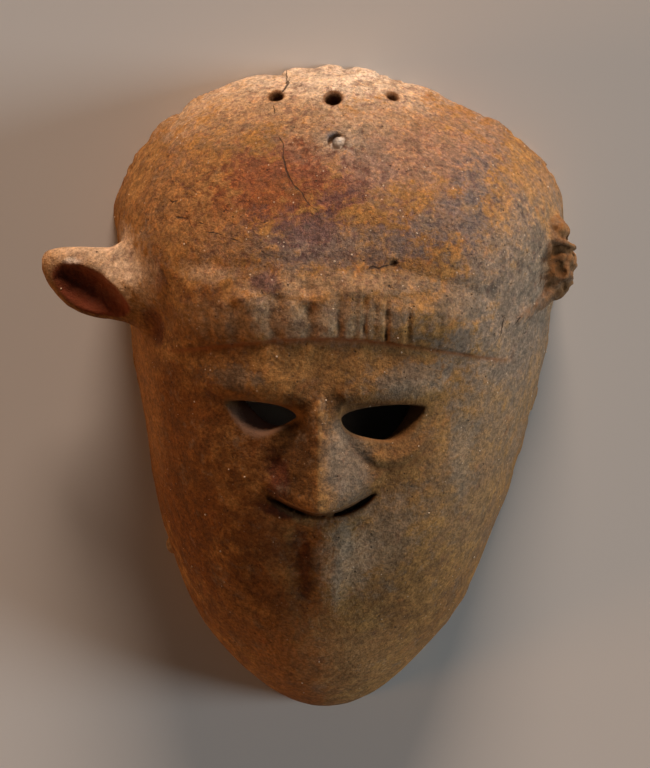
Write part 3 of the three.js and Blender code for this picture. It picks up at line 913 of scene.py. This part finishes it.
# %% Where the cracks run
CRACKS = [
    ([(-13.2, 94.6), (-12, 96.1), (-12.3, 97.2), (-12.6, 98.2), (-12.6, 99.9)], 0.28),
    ([(-12, 96.1), (-11.2, 96.7)], 0.2),
    ([(-15.3, 91.9), (-14.8, 90.1)], 0.15),
    (
        [(-13.1, 85.2), (-11.7, 84), (-11.6, 80.8), (-10.8, 78.8), (-10.3, 77.2), (-9.4, 75.9), (-7.9, 74.1)]
        + [(-6, 72.8), (-5, 71.1), (-3.5, 69.6), (-1.3, 68.4), (-0.4, 65.8), (-0.6, 64)],
        0.26,
    ),
    ([(-16.9, 58.4), (-15.1, 57.4), (-12.7, 57.1)], 0.2),
    ([(12.8, 53.9), (14.4, 54.6), (15.8, 54), (17.4, 54.7), (19.8, 54.9)], 0.6),
    ([(-16.5, 48.1), (-16.1, 47.5)], 0.45),
    ([(8.7, 46.6), (8.9, 46.0)], 0.4),
    ([(24.5, 41.0), (24.7, 40.3)], 0.45),
    ([(18.4, 49.9), (19.4, 49.3)], 0.45),
    ([(56.2, 34.4), (54.5, 32.5)], 0.25),
    ([(51.4, 36.3), (50.9, 33.8), (50.4, 30.8), (49.2, 28.9)], 0.22),
    ([(49.6, 44.8), (49.8, 43.3)], 0.18),
    ([(-44.3, 68.4), (-43.3, 67.6), (-42.1, 67.6)], 0.2),
    ([(-43.3, 67.6), (-41.5, 68.5)], 0.2),
    ([(-41.5, 64.3), (-39.2, 64.5), (-38.1, 64.5), (-36.7, 62.3)], 0.35),
    ([(-34.5, 64), (-33.3, 63.8)], 0.25),
    ([(-32.9, 62), (-30.5, 62), (-28, 61.8)], 0.2),
    ([(-26, 61.1), (-24, 60.7), (-22.1, 60)], 0.2),
]
CRACK_REACH = 1.7
print("cracks and nicks:", len(CRACKS))

# %% [markdown]
# The nearest chain is found for every vertex at once. A crack gets thinner towards its far end, and the
# sign of the gap tells on which side of the chain the vertex lies.


# %% Put the cracks on the skin
def crack_marks(x, y):
    nearest = np.full(len(x), 1e3)
    signed, width = np.full(len(x), 1e3), np.zeros(len(x))
    for chain, half in CRACKS:
        steps = len(chain) - 1
        for k in range(steps):
            (ax, ay), (bx, by) = chain[k], chain[k + 1]
            dx, dy = bx - ax, by - ay
            length = math.hypot(dx, dy)
            along = ((x - ax) * dx + (y - ay) * dy) / length**2
            held = np.clip(along, 0, 1)
            gap = np.hypot(x - ax - held * dx, y - ay - held * dy)
            side = np.where((x - ax) * dy - (y - ay) * dx > 0, 1.0, -1.0)
            closer = gap < nearest
            taper = np.clip(1.15 - ((k + held) / steps) ** 2, 0.35, 1)
            beyond = (along < 0) & (k == 0) | (along > 1) & (k == steps - 1)
            nearest = np.where(closer, gap, nearest)
            signed = np.where(closer, side * gap, signed)
            width = np.where(closer, np.where(beyond, 0, half * taper), width)
    return signed, width * (nearest < CRACK_REACH)


facing_up = normal[:, 2] > 0.05
crack_gap, crack_width = crack_marks(place[:, 0], place[:, 1])
mark("crack_gap", (np.clip(crack_gap, -4, 4) + 4) / 8)
mark("crack_width", crack_width * facing_up)

# %% [markdown]
# The frame is told that this skin belongs to the one body, and that it stands in for the clay solid.

# %% Hand over the skin
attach(clay, "root")
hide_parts(CLAY)
print("skin stands in for", CLAY)

# %% [markdown]
# ## Fired clay
#
# The clay is coarse and matt. Its colour drifts from ochre at the crown to a deep red-brown on the
# left cheek and a greyer buff on the right one, with a red blush and purple-grey stains above the
# fringe, because the fire and the soil coloured the real clay in patches. Each patch is a soft ball
# of colour around a named point, and two sizes of noise break up its edge.

# %% Helpers for the material
material = bpy.data.materials.new("fired clay")
material.use_nodes = True
tree = material.node_tree
tree.nodes.clear()


def node(kind, into=tree, **settings):
    made = into.nodes.new(kind)
    for name, value in settings.items():
        setattr(made, name, value)
    return made


def plug(value, socket):
    if hasattr(value, "links"):
        tree.links.new(value, socket)
    else:
        socket.default_value = value


def maths(operation, a, b=0.0):
    made = node("ShaderNodeMath", operation=operation)
    plug(a, made.inputs[0])
    plug(b, made.inputs[1])
    return made.outputs[0]


def times(a, b):
    return maths("MULTIPLY", a, b)


def rescale(value, low, high, to_low=0.0, to_high=1.0):
    made = node("ShaderNodeMapRange", interpolation_type="SMOOTHSTEP")
    plug(value, made.inputs["Value"])
    for name, bound in (("From Min", low), ("From Max", high), ("To Min", to_low), ("To Max", to_high)):
        made.inputs[name].default_value = bound
    return made.outputs["Result"]


def tint(base, colour, amount, blend="MIX"):
    made = node("ShaderNodeMix", data_type="RGBA", blend_type=blend)
    plug(amount, made.inputs[0])
    plug(base, made.inputs[6])
    plug(colour, made.inputs[7])
    return made.outputs[2]


print("material", material.name)

# %% [markdown]
# All patterns are made by noise that reads the mask's own coordinates, so they stay on the clay when it
# moves. Sizes are given in millimetres. `specks` are round spots, such as pores and crumbs, and a
# `stain` is a soft ball of colour with a ragged edge.

# %% Noise, specks and stains
coordinates = node("ShaderNodeTexCoord").outputs["Object"]


def noise(size_mm, detail=4.0, roughness=0.55):
    made = node("ShaderNodeTexNoise")
    plug(coordinates, made.inputs["Vector"])
    made.inputs["Scale"].default_value = 1 / (size_mm * MM)
    made.inputs["Detail"].default_value = detail
    made.inputs["Roughness"].default_value = roughness
    return made.outputs["Fac"]


def specks(size_mm, radius, share):
    """Round spots: one in each cell of that size, of which only a share shows"""
    made = node("ShaderNodeTexVoronoi")
    plug(coordinates, made.inputs["Vector"])
    made.inputs["Scale"].default_value = 1 / (size_mm * MM)
    chosen = node("ShaderNodeSeparateColor")
    plug(made.outputs["Color"], chosen.inputs[0])
    spot = rescale(made.outputs["Distance"], radius, radius * 0.5)
    return times(spot, maths("LESS_THAN", chosen.outputs[0], share))


def attribute(name):
    return node("ShaderNodeAttribute", attribute_name=name).outputs["Fac"]


MOTTLE = noise(16, 5, 0.6)
PATCH = noise(4.5, 4, 0.65)
GRAIN = noise(2.4, 6, 0.78)
RAGGED = maths("SUBTRACT", maths("ADD", maths("ADD", MOTTLE, PATCH), GRAIN), 1.5)


def stain(x, y, z, across, up, deep, ragged):
    """A soft ball of colour round a point on the face, with a ragged edge"""
    offset = node("ShaderNodeVectorMath", operation="SUBTRACT")
    plug(coordinates, offset.inputs[0])
    offset.inputs[1].default_value = ((x + FACE_X) * MM, (y + FACE_Y) * MM, z * MM)
    scaled = node("ShaderNodeVectorMath", operation="MULTIPLY")
    plug(offset.outputs[0], scaled.inputs[0])
    scaled.inputs[1].default_value = (1 / (across * MM), 1 / (up * MM), 1 / (deep * MM))
    length = node("ShaderNodeVectorMath", operation="LENGTH")
    plug(scaled.outputs[0], length.inputs[0])
    rough = maths("ADD", length.outputs["Value"], times(RAGGED, ragged * 2.6))
    return rescale(rough, 1.2, 0.4)


print("nodes so far:", len(tree.nodes))

# %% The clay's colours
OCHRE = (0.340, 0.175, 0.066, 1)
GOLD = (0.270, 0.140, 0.045, 1)
BROWN = (0.200, 0.094, 0.031, 1)
DEEP = (0.155, 0.057, 0.012, 1)
BUFF = (0.270, 0.190, 0.120, 1)
CREAM = (0.330, 0.255, 0.175, 1)
CREASE_SHADE = (0.260, 0.090, 0.028, 1)
PALE = (0.600, 0.480, 0.360, 1)
WHITE = (0.780, 0.700, 0.600, 1)
SAND = (0.480, 0.330, 0.200, 1)
ASH = (0.240, 0.205, 0.175, 1)
ROSE = (0.360, 0.230, 0.170, 1)
UMBER = (0.070, 0.030, 0.007, 1)
POCKET_SHADE = (0.145, 0.026, 0.010, 1)
GREY = (0.172, 0.138, 0.100, 1)
SLATE = (0.150, 0.135, 0.135, 1)
RED = (0.215, 0.062, 0.024, 1)
MAUVE = (0.145, 0.075, 0.068, 1)
WINE = (0.075, 0.018, 0.007, 1)
SOOT = (0.050, 0.033, 0.024, 1)
# The two crumbs multiply the colour that they lie on
DARK_CRUMB = (0.50, 0.38, 0.46, 1)
PALE_CRUMB = (1.60, 1.40, 1.10, 1)
print("soot, nearly black:", SOOT[:3])

# %% [markdown]
# The patches are laid one over another, the broad ones first. Where the fire was hot the clay is red,
# where smoke reached it is grey, and lime from the soil left the pale ones. Some patches are painted
# light and shade instead. Painted light makes paler or greyer patches on the top and root of the ear,
# the ridges of the fringe locks and a streak at its left end, the right brow, the right temple and the
# right sides of the nose and the beard. Painted shade makes darker patches in the frown, on the left
# sides of the nose and the beard, in the dent by the nose, under the left of the mouth, in the ear pit,
# in two fringe grooves and on the front of the fringe at the left.


# %% Patches of colour
# Colour and strength of each patch, its middle, its three radii, and how ragged it is
PATCHES = [
    (OCHRE, 0.9, (2, 104, 0), (64, 30, 40), 0.5),
    (CREAM, 0.8, (2, 104, 4), (54, 16, 24), 0.7),
    (ROSE, 0.6, (20, 84, 38), (44, 22, 40), 0.8),
    (SAND, 1.0, (-16, 98, 14), (52, 22, 34), 0.7),
    (PALE, 0.9, (2, 104, 6), (50, 18, 26), 0.6),
    (CREAM, 0.7, (3.2, 84.6, 36.7), (7.5, 6.5, 8), 0.6),
    (OCHRE, 0.5, (-36, 70, 46), (24, 20, 30), 0.7),
    (OCHRE, 0.5, (-20, 90, 24), (22, 9, 20), 0.9),
    (OCHRE, 0.4, (28, 92, 18), (20, 9, 20), 0.9),
    (BUFF, 0.6, (60, 34, 36), (28, 56, 60), 0.5),
    (ASH, 0.45, (52, 40, 40), (22, 30, 40), 0.8),
    (BUFF, 0.3, (44, -10, 40), (18, 46, 50), 0.6),
    (DEEP, 0.8, (-44, -12, 40), (36, 50, 60), 0.5),
    (DEEP, 0.4, (-26, -52, 40), (30, 40, 60), 0.7),
    (OCHRE, 0.5, (2, -74, 34), (26, 20, 30), 0.8),
    (RED, 0.7, (-13, 74, 50), (19, 14, 26), 0.8),
    (RED, 0.5, (4, 73, 51), (10, 8, 20), 0.9),
    (MAUVE, 0.7, (3, 71, 52), (8, 3, 10), 0.9),
    (SLATE, 0.6, (1, 60, 60), (30, 7, 20), 0.8),
    (MAUVE, 0.6, (-5, 64, 57), (14, 6, 20), 0.9),
    (SLATE, 0.55, (35, 66, 51), (14, 7, 20), 0.9),
    (SLATE, 0.55, (43, 73, 39), (8, 7, 16), 0.9),
    (SLATE, 0.25, (12, 80, 44), (10, 8, 20), 1.0),
    (GREY, 0.6, (60, 48, 25), (14, 18, 30), 0.7),
    (MAUVE, 0.6, (-50, 47, 42), (6, 6, 12), 0.8),
    (OCHRE, 0.8, (0, 44, 64), (46, 9, 14), 0.5),
    (BUFF, 0.5, (2, 41, 64), (40, 6, 14), 0.8),
    (CREAM, 0.4, (3, 50, 66), (36, 4.5, 14), 0.8),
    (GREY, 0.5, (36, 42, 59), (18, 8, 20), 0.8),
    (SAND, 0.6, (-8, 39.5, 62), (36, 7.5, 16), 0.6),
    # Painted shade in the frown recess between the brows
    (BROWN, 0.8, (4, 17, 65), (9, 6, 12), 0.6),
    (UMBER, 0.7, (3.5, 13, 64), (5, 7, 10), 0.4),
    (GREY, 0.6, (-22, 22, 62), (13, 4, 12), 0.9),
    (GREY, 0.6, (24, 23, 62), (16, 4, 12), 0.9),
    (BROWN, 0.6, (22, 0, 60), (14, 5, 8), 0.5),
    (BUFF, 0.5, (17, -27, 58), (15, 15, 20), 0.9),
    (OCHRE, 0.5, (-31, 60, 54), (15, 7, 20), 0.8),
    (MAUVE, 0.8, (-15.2, 50.4, 64), (4.4, 2.8, 9), 0.6),
    # Painted highlights on the ridges of the locks (sand), and umber in two grooves for dirt and painted
    # shade
    (SAND, 0.6, (-18.8, 42.5, 62), (2.6, 6, 8), 0.3),
    (SAND, 0.6, (-8.0, 43.0, 63), (2.4, 6, 8), 0.3),
    (SAND, 0.6, (1.6, 43.5, 63), (2.4, 6, 8), 0.3),
    (SAND, 0.4, (7.4, 43.0, 63), (1.6, 5, 8), 0.3),
    (UMBER, 0.35, (-13.0, 39.0, 62), (2.2, 5, 8), 0.4),
    (UMBER, 0.35, (-3.3, 40.0, 63), (2.2, 5, 8), 0.4),
    # Painted shade on the front face of the fringe's left part, which faces away from the crown lamp
    (DEEP, 0.7, (-33, 46, 57), (12, 4.5, 14), 0.7),
    # Painted highlight along the crest of the right brow
    (CREAM, 0.4, (24, 18.5, 60), (14, 3.5, 12), 0.6),
    # Painted light and shade on the nose: grey on its right side, lit from the right, and umber, strong on
    # its left side, which faces away from the lamps
    (GREY, 0.9, (7.5, -1, 68), (8.0, 15, 14), 0.25),
    (UMBER, 0.2, (7.5, -5, 68), (8.0, 14, 14), 0.3),
    (UMBER, 1.0, (-7.5, 3, 68), (8.5, 20, 18), 0.3),
    (UMBER, 0.6, (-5, 7, 66), (6, 9, 12), 0.3),
    # Painted light on the right side of the beard
    (SAND, 0.45, (6, -34, 58), (9, 16, 16), 0.8),
    # Painted shade in the dent beside the left wing of the nose
    (WINE, 0.9, (-12.4, -7.5, 63), (4.0, 8, 9), 0.4),
    # Painted shadow under the lip at the left of the mouth
    (WINE, 0.9, (-10.5, -17.4, 62), (8.5, 3.0, 8), 0.3),
    # Painted highlight: a pale vertical band down the right temple
    (CREAM, 0.35, (40, -2, 48), (4, 20, 18), 0.8),
    # The beard: grey and cream on its right side as painted light, wine and umber on its left flank as
    # painted shade
    (GREY, 0.5, (6.0, -26, 61), (3.2, 7, 10), 0.5),
    (WINE, 0.6, (-5.8, -28, 60), (2.6, 7, 10), 0.4),
    (UMBER, 0.6, (-4.6, -38, 57), (3.6, 12, 10), 0.6),
    (WINE, 0.5, (-4.8, -37, 57), (1.6, 12, 10), 0.6),
    (CREAM, 0.5, (3.8, -42, 57), (1.8, 14, 12), 0.5),
    (OCHRE, 0.6, (2, -62, 46), (16, 12, 24), 0.8),
    (BROWN, 0.35, (28, -46, 45), (17, 18, 30), 0.8),
    (OCHRE, 0.6, (-52, 5, 26), (8, 30, 20), 0.5),
    # Painted light on the top of the ear, which faces the crown lamp, with a white painted highlight on its
    # upper roll
    (SAND, 0.9, (-70, 51, 31), (26, 9, 16), 0.4),
    (OCHRE, 0.4, (-70, 50, 31), (24, 8, 16), 0.8),
    (PALE, 0.35, (-66, 53, 31), (20, 7, 14), 0.7),
    (WHITE, 0.7, (-73.5, 47.8, 33), (3.2, 1.5, 6), 0.2),
    # Painted highlight: a streak on the top of the fringe's left part, which faces the crown lamp
    (SAND, 0.6, (-33, 51.0, 56), (11, 3.2, 14), 0.5),
    # Painted light on the root of the ear
    (SAND, 1.0, (-57, 46, 35), (13, 12, 16), 0.6),
    (PALE, 0.4, (-57, 46, 35), (11, 9, 14), 0.6),
    # Painted shade in the pit where the ear meets the head
    (WINE, 0.8, (-49, 31.5, 40), (6, 6, 9), 0.3),
    (UMBER, 0.9, (65, 47, 22), (8, 9, 10), 0.7),
    (CREAM, 0.9, (-48.6, -49.6, 2.4), (3, 3, 3), 0.1),
]


def follow(name, colour, amount, onto):
    return tint(onto, colour, times(attribute(name), amount))


colour = tint(BROWN, GOLD, rescale(MOTTLE, 0.38, 0.62))
for paint, amount, middle, radii, ragged in PATCHES:
    colour = tint(colour, paint, times(stain(*middle, *radii, ragged), amount))
print("patches", len(PATCHES), "and nodes", len(tree.nodes))

# %% [markdown]
# Over the patches comes what is found all over: small clouds of grey, red and soot, and a grainy mix of
# dark and pale crumbs, which is strongest on the crown and the fringe.

# %% Crumb, soot and marks
colour = tint(colour, GREY, times(rescale(noise(7, 5, 0.7), 0.54, 0.70), 0.45))
colour = tint(colour, RED, times(rescale(noise(6, 5, 0.7), 0.56, 0.74), 0.35))
colour = tint(colour, SOOT, times(rescale(noise(3.2, 4, 0.75), 0.58, 0.74), 0.35))
CROWN_SIDE = stain(2, 72, 40, 80, 44, 70, 0.2)
coarse = rescale(CROWN_SIDE, 0, 1, 0.30, 0.95)
FINE = noise(1.1, 4, 0.8)
dark_crumbs = times(rescale(GRAIN, 0.50, 0.42), coarse)
pale_crumbs = times(rescale(noise(1.9, 5, 0.78), 0.52, 0.60), coarse)
colour = tint(colour, DARK_CRUMB, times(dark_crumbs, 0.58), "MULTIPLY")
colour = tint(colour, PALE_CRUMB, times(pale_crumbs, 0.75), "MULTIPLY")
shade = times(rescale(FINE, 0.36, 0.64, 0.68, 1.34), rescale(PATCH, 0.35, 0.65, 0.78, 1.22))
colour = tint(colour, shade, 1.0, "MULTIPLY")
colour = tint(colour, PALE, times(times(specks(1.5, 0.22, 0.09), coarse), 0.7))
colour = tint(colour, SOOT, times(specks(2.3, 0.16, 0.16), 0.75))
# Grooves and corners darker: dirt, and painted shade
colour = follow("dirt_and_shade", DEEP, 0.35, colour)
# Painted shade: the inside of the shell nearly black, for the little light that reaches it
colour = follow("inside", SOOT, 0.70, colour)
colour = tint(colour, DEEP, times(attribute("broken"), rescale(PATCH, 0.35, 0.6, 0.25, 0.65)))
# The deep parts of the break darker still: dirt, and painted shade
break_dirt_and_shade = times(attribute("broken"), rescale(attribute("dirt_and_shade"), 0.40, 0.72))
colour = tint(colour, UMBER, times(break_dirt_and_shade, 0.85))
# Painted shade: a thin rust-dark line under the fringe's foot and under the right eye's bag
colour = follow("crease", CREASE_SHADE, 0.75, colour)
# Painted shade: the ear's hollow dark liver-red
colour = follow("pocket", POCKET_SHADE, 0.88, colour)
# Painted shade: the walls of the eye openings darker
colour = follow("cut", BROWN, 0.60, colour)
# Painted light: the lower bevel of the left eye lightened with rose, as if the lamps reached it
painted_bevel_light = times(stain(-21, 7.5, 60, 12, 6, 8, 0.1), attribute("cut"))
colour = tint(colour, ROSE, times(painted_bevel_light, 0.6))
# Painted shade: the walls of the mouth slit dark umber
colour = follow("slit", UMBER, 0.80, colour)
# Painted shade: the walls of the cord holes dark
colour = follow("bored", DEEP, 0.80, colour)
colour = tint(colour, SLATE, times(stain(2.3, 85.6, 36, 2.2, 2.0, 4, 0.1), 0.9))
colour = follow("pebble", WHITE, 0.9, colour)
print("nodes with crumbs and marks:", len(tree.nodes))

# %% [markdown]
# The cracks: where the distance to a chain is less than its width, the clay is dark and sunk in. A
# little noise makes the line tremble.

# %% Cracks, bumps and the finished material
gap = times(maths("SUBTRACT", attribute("crack_gap"), 0.5), 8)
gap = maths("ADD", gap, times(maths("SUBTRACT", noise(1.6, 3, 0.6), 0.5), 0.7))
wide = times(attribute("crack_width"), rescale(noise(2.4, 3, 0.6), 0.38, 0.62, 0.4, 1.0))
ratio = maths("DIVIDE", maths("ABSOLUTE", gap), maths("MAXIMUM", wide, 0.01))
crack = times(rescale(ratio, 1.3, 0.6), maths("GREATER_THAN", attribute("crack_width"), 0.03))
colour = tint(colour, SOOT, times(crack, 0.85))

height = times(maths("ADD", GRAIN, times(FINE, 0.5)), times(coarse, 1.2))
height = maths("ADD", height, times(PATCH, 0.9))
height = maths("SUBTRACT", height, times(specks(2.3, 0.16, 0.16), 0.5))
height = maths("SUBTRACT", height, crack)
bump = node("ShaderNodeBump")
bump.inputs["Strength"].default_value = 0.9
bump.inputs["Distance"].default_value = 1.2 * MM
plug(height, bump.inputs["Height"])

surface = node("ShaderNodeBsdfPrincipled")
plug(colour, surface.inputs["Base Color"])
plug(rescale(PATCH, 0.3, 0.7, 0.80, 0.95), surface.inputs["Roughness"])
surface.inputs["Specular IOR Level"].default_value = 0.2
plug(bump.outputs["Normal"], surface.inputs["Normal"])
plug(surface.outputs[0], node("ShaderNodeOutputMaterial").inputs["Surface"])
clay.data.materials.clear()
clay.data.materials.append(material)
print("nodes in all:", len(tree.nodes))

# %% [markdown]
# ## Grit
#
# Coarse clay is mixed with crushed stone so that it doesn't crack in the fire. Where the surface has
# worn, the grains show as tiny pale sparks. A Geometry Nodes tree scatters them over the skin: points
# at random, a small pebble on each, turned and sized by chance from a fixed seed.


# %% The tree that scatters grit
GRIT_PER_SQUARE_METRE = 8000.0
# Radius of the smallest and the largest grain
GRIT_SMALLEST = 0.10
GRIT_LARGEST = 0.36


def grit_tree():
    made = bpy.data.node_groups.new("grit", "GeometryNodeTree")
    made.interface.new_socket("Geometry", in_out="INPUT", socket_type="NodeSocketGeometry")
    for name, kind, value in (
        ("Grains per square metre", "NodeSocketFloat", GRIT_PER_SQUARE_METRE),
        ("Smallest", "NodeSocketFloat", GRIT_SMALLEST * MM),
        ("Largest", "NodeSocketFloat", GRIT_LARGEST * MM),
        ("Seed", "NodeSocketInt", SEED),
        ("Material", "NodeSocketMaterial", None),
    ):
        socket = made.interface.new_socket(name, in_out="INPUT", socket_type=kind)
        if value is not None:
            socket.default_value = value
    made.interface.new_socket("Geometry", in_out="OUTPUT", socket_type="NodeSocketGeometry")
    given = made.nodes.new("NodeGroupInput")
    result = made.nodes.new("NodeGroupOutput")

    scatter = node("GeometryNodeDistributePointsOnFaces", made)
    pebble = node("GeometryNodeMeshIcoSphere", made)
    pebble.inputs["Radius"].default_value = 1.0
    pebble.inputs["Subdivisions"].default_value = 1
    size = node("FunctionNodeRandomValue", made, data_type="FLOAT")
    chance = node("ShaderNodeMath", made, operation="POWER")
    chance.inputs[1].default_value = 2.5
    spread = node("ShaderNodeMapRange", made)
    turn = node("FunctionNodeRandomValue", made, data_type="FLOAT_VECTOR")
    turn.inputs["Max"].default_value = (6.28, 6.28, 6.28)
    sown = node("GeometryNodeInstanceOnPoints", made)
    real = node("GeometryNodeRealizeInstances", made)
    paint = node("GeometryNodeSetMaterial", made)
    for start, out, end, into in (
        (given, "Geometry", scatter, "Mesh"),
        (given, "Grains per square metre", scatter, "Density"),
        (given, "Seed", scatter, "Seed"),
        (given, "Seed", size, "Seed"),
        (size, 1, chance, 0),
        (chance, 0, spread, "Value"),
        (given, "Smallest", spread, "To Min"),
        (given, "Largest", spread, "To Max"),
        (scatter, "Points", sown, "Points"),
        (pebble, "Mesh", sown, "Instance"),
        (turn, 0, sown, "Rotation"),
        (spread, "Result", sown, "Scale"),
        (sown, "Instances", real, "Geometry"),
        (real, "Geometry", paint, "Geometry"),
        (given, "Material", paint, "Material"),
        (paint, "Geometry", result, "Geometry"),
    ):
        made.links.new(start.outputs[out], end.inputs[into])
    print("grit from", GRIT_SMALLEST, "to", GRIT_LARGEST, "mm, nodes in its tree:", len(made.nodes))
    return made


# %% [markdown]
# The tree is run on a copy of the skin. What it makes is turned into a plain mesh, and the modifier is
# taken off.

# %% Scatter the grit
def plain_material(name, colour, roughness):
    made = bpy.data.materials.new(name)
    made.use_nodes = True
    surface = made.node_tree.nodes["Principled BSDF"]
    surface.inputs["Base Color"].default_value = colour
    surface.inputs["Roughness"].default_value = roughness
    return made


stone = plain_material("pale grit", (0.60, 0.46, 0.32, 1), 0.35)
grains = add_object("grit", clay.data.copy())
scatter = grains.modifiers.new("scatter", "NODES")
scatter.node_group = grit_tree()
for item in scatter.node_group.interface.items_tree:
    if item.in_out == "INPUT" and item.name == "Material":
        scatter[item.identifier] = stone
make_plain(grains)
print("grit triangles", len(grains.data.polygons))
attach(grains, "root")

# %% [markdown]
# ## Table, light and camera
#
# The mask lies on a plain pale table. A broad warm lamp stands beyond the crown, a cooler one to the
# right, and a weak orange one to the left. They give the clay its warm top, its greyer right cheek and
# its glowing left edge. All three are soft and far away, so that no edge of a shadow is hard.

# %% Table and lamps
TABLE_WIDTH = 6000
LAMP_SOFTNESS = math.radians(20)
ROOM_LIGHT = 0.03

bpy.ops.mesh.primitive_plane_add(size=TABLE_WIDTH * MM)
table = bpy.context.object
table.name = "table"
table.data.materials.append(plain_material("pale table", (0.62, 0.61, 0.59, 1), 0.9))


def lamp(name, around, height, strength, colour):
    """A soft lamp far away: degrees clockwise from the crown, and degrees above the table"""
    light = bpy.data.lights.new(name, "SUN")
    light.angle = LAMP_SOFTNESS
    light.energy = math.pi * strength
    light.color = colour
    made = add_object(name, light)
    turn, rise = math.radians(around), math.radians(height)
    toward = Vector((math.sin(turn) * math.cos(rise), math.cos(turn) * math.cos(rise), math.sin(rise)))
    made.rotation_euler = toward.to_track_quat("Z", "Y").to_euler()
    print("lamp", name, "stands", height, "degrees above the table")


lamp("window", 6, 13, 1.42, (1.0, 0.75, 0.59))
lamp("sky", 90, 16, 0.63, (0.88, 0.96, 1.0))
lamp("wall", -104, 10, 0.38, (1.0, 0.47, 0.16))

world = bpy.data.worlds.new("room")
bpy.context.scene.world = world
world.use_nodes = True
world.node_tree.nodes["Background"].inputs[0].default_value = (0.9, 0.92, 1.0, 1)
world.node_tree.nodes["Background"].inputs[1].default_value = ROOM_LIGHT

# %% [markdown]
# The camera looks down on the lying face from a little beyond the crown, through a long lens, so that
# the proportions aren't stretched.

# %% Camera
CAMERA_TILT = math.radians(16)
CAMERA_TURN = math.radians(2)
CAMERA_AWAY = 752
AIM = Vector((-0.2 + FACE_X, 11 + FACE_Y, 30))

back = Vector(
    (
        math.sin(CAMERA_TURN) * math.cos(CAMERA_TILT),
        math.sin(CAMERA_TILT),
        math.cos(CAMERA_TURN) * math.cos(CAMERA_TILT),
    )
)
right = Vector((0, 1, 0)).cross(back).normalized()
up = back.cross(right)
lens = bpy.data.cameras.new("camera")
lens.lens = 120
camera = add_object("camera", lens)
pose = Matrix((right, up, back)).transposed().to_4x4()
pose.translation = (AIM + back * CAMERA_AWAY) * MM
camera.matrix_world = pose
bpy.context.scene.camera = camera
bpy.context.scene.view_settings.view_transform = "Standard"
print("camera", CAMERA_AWAY, "mm away, tilted", round(math.degrees(CAMERA_TILT)), "degrees")
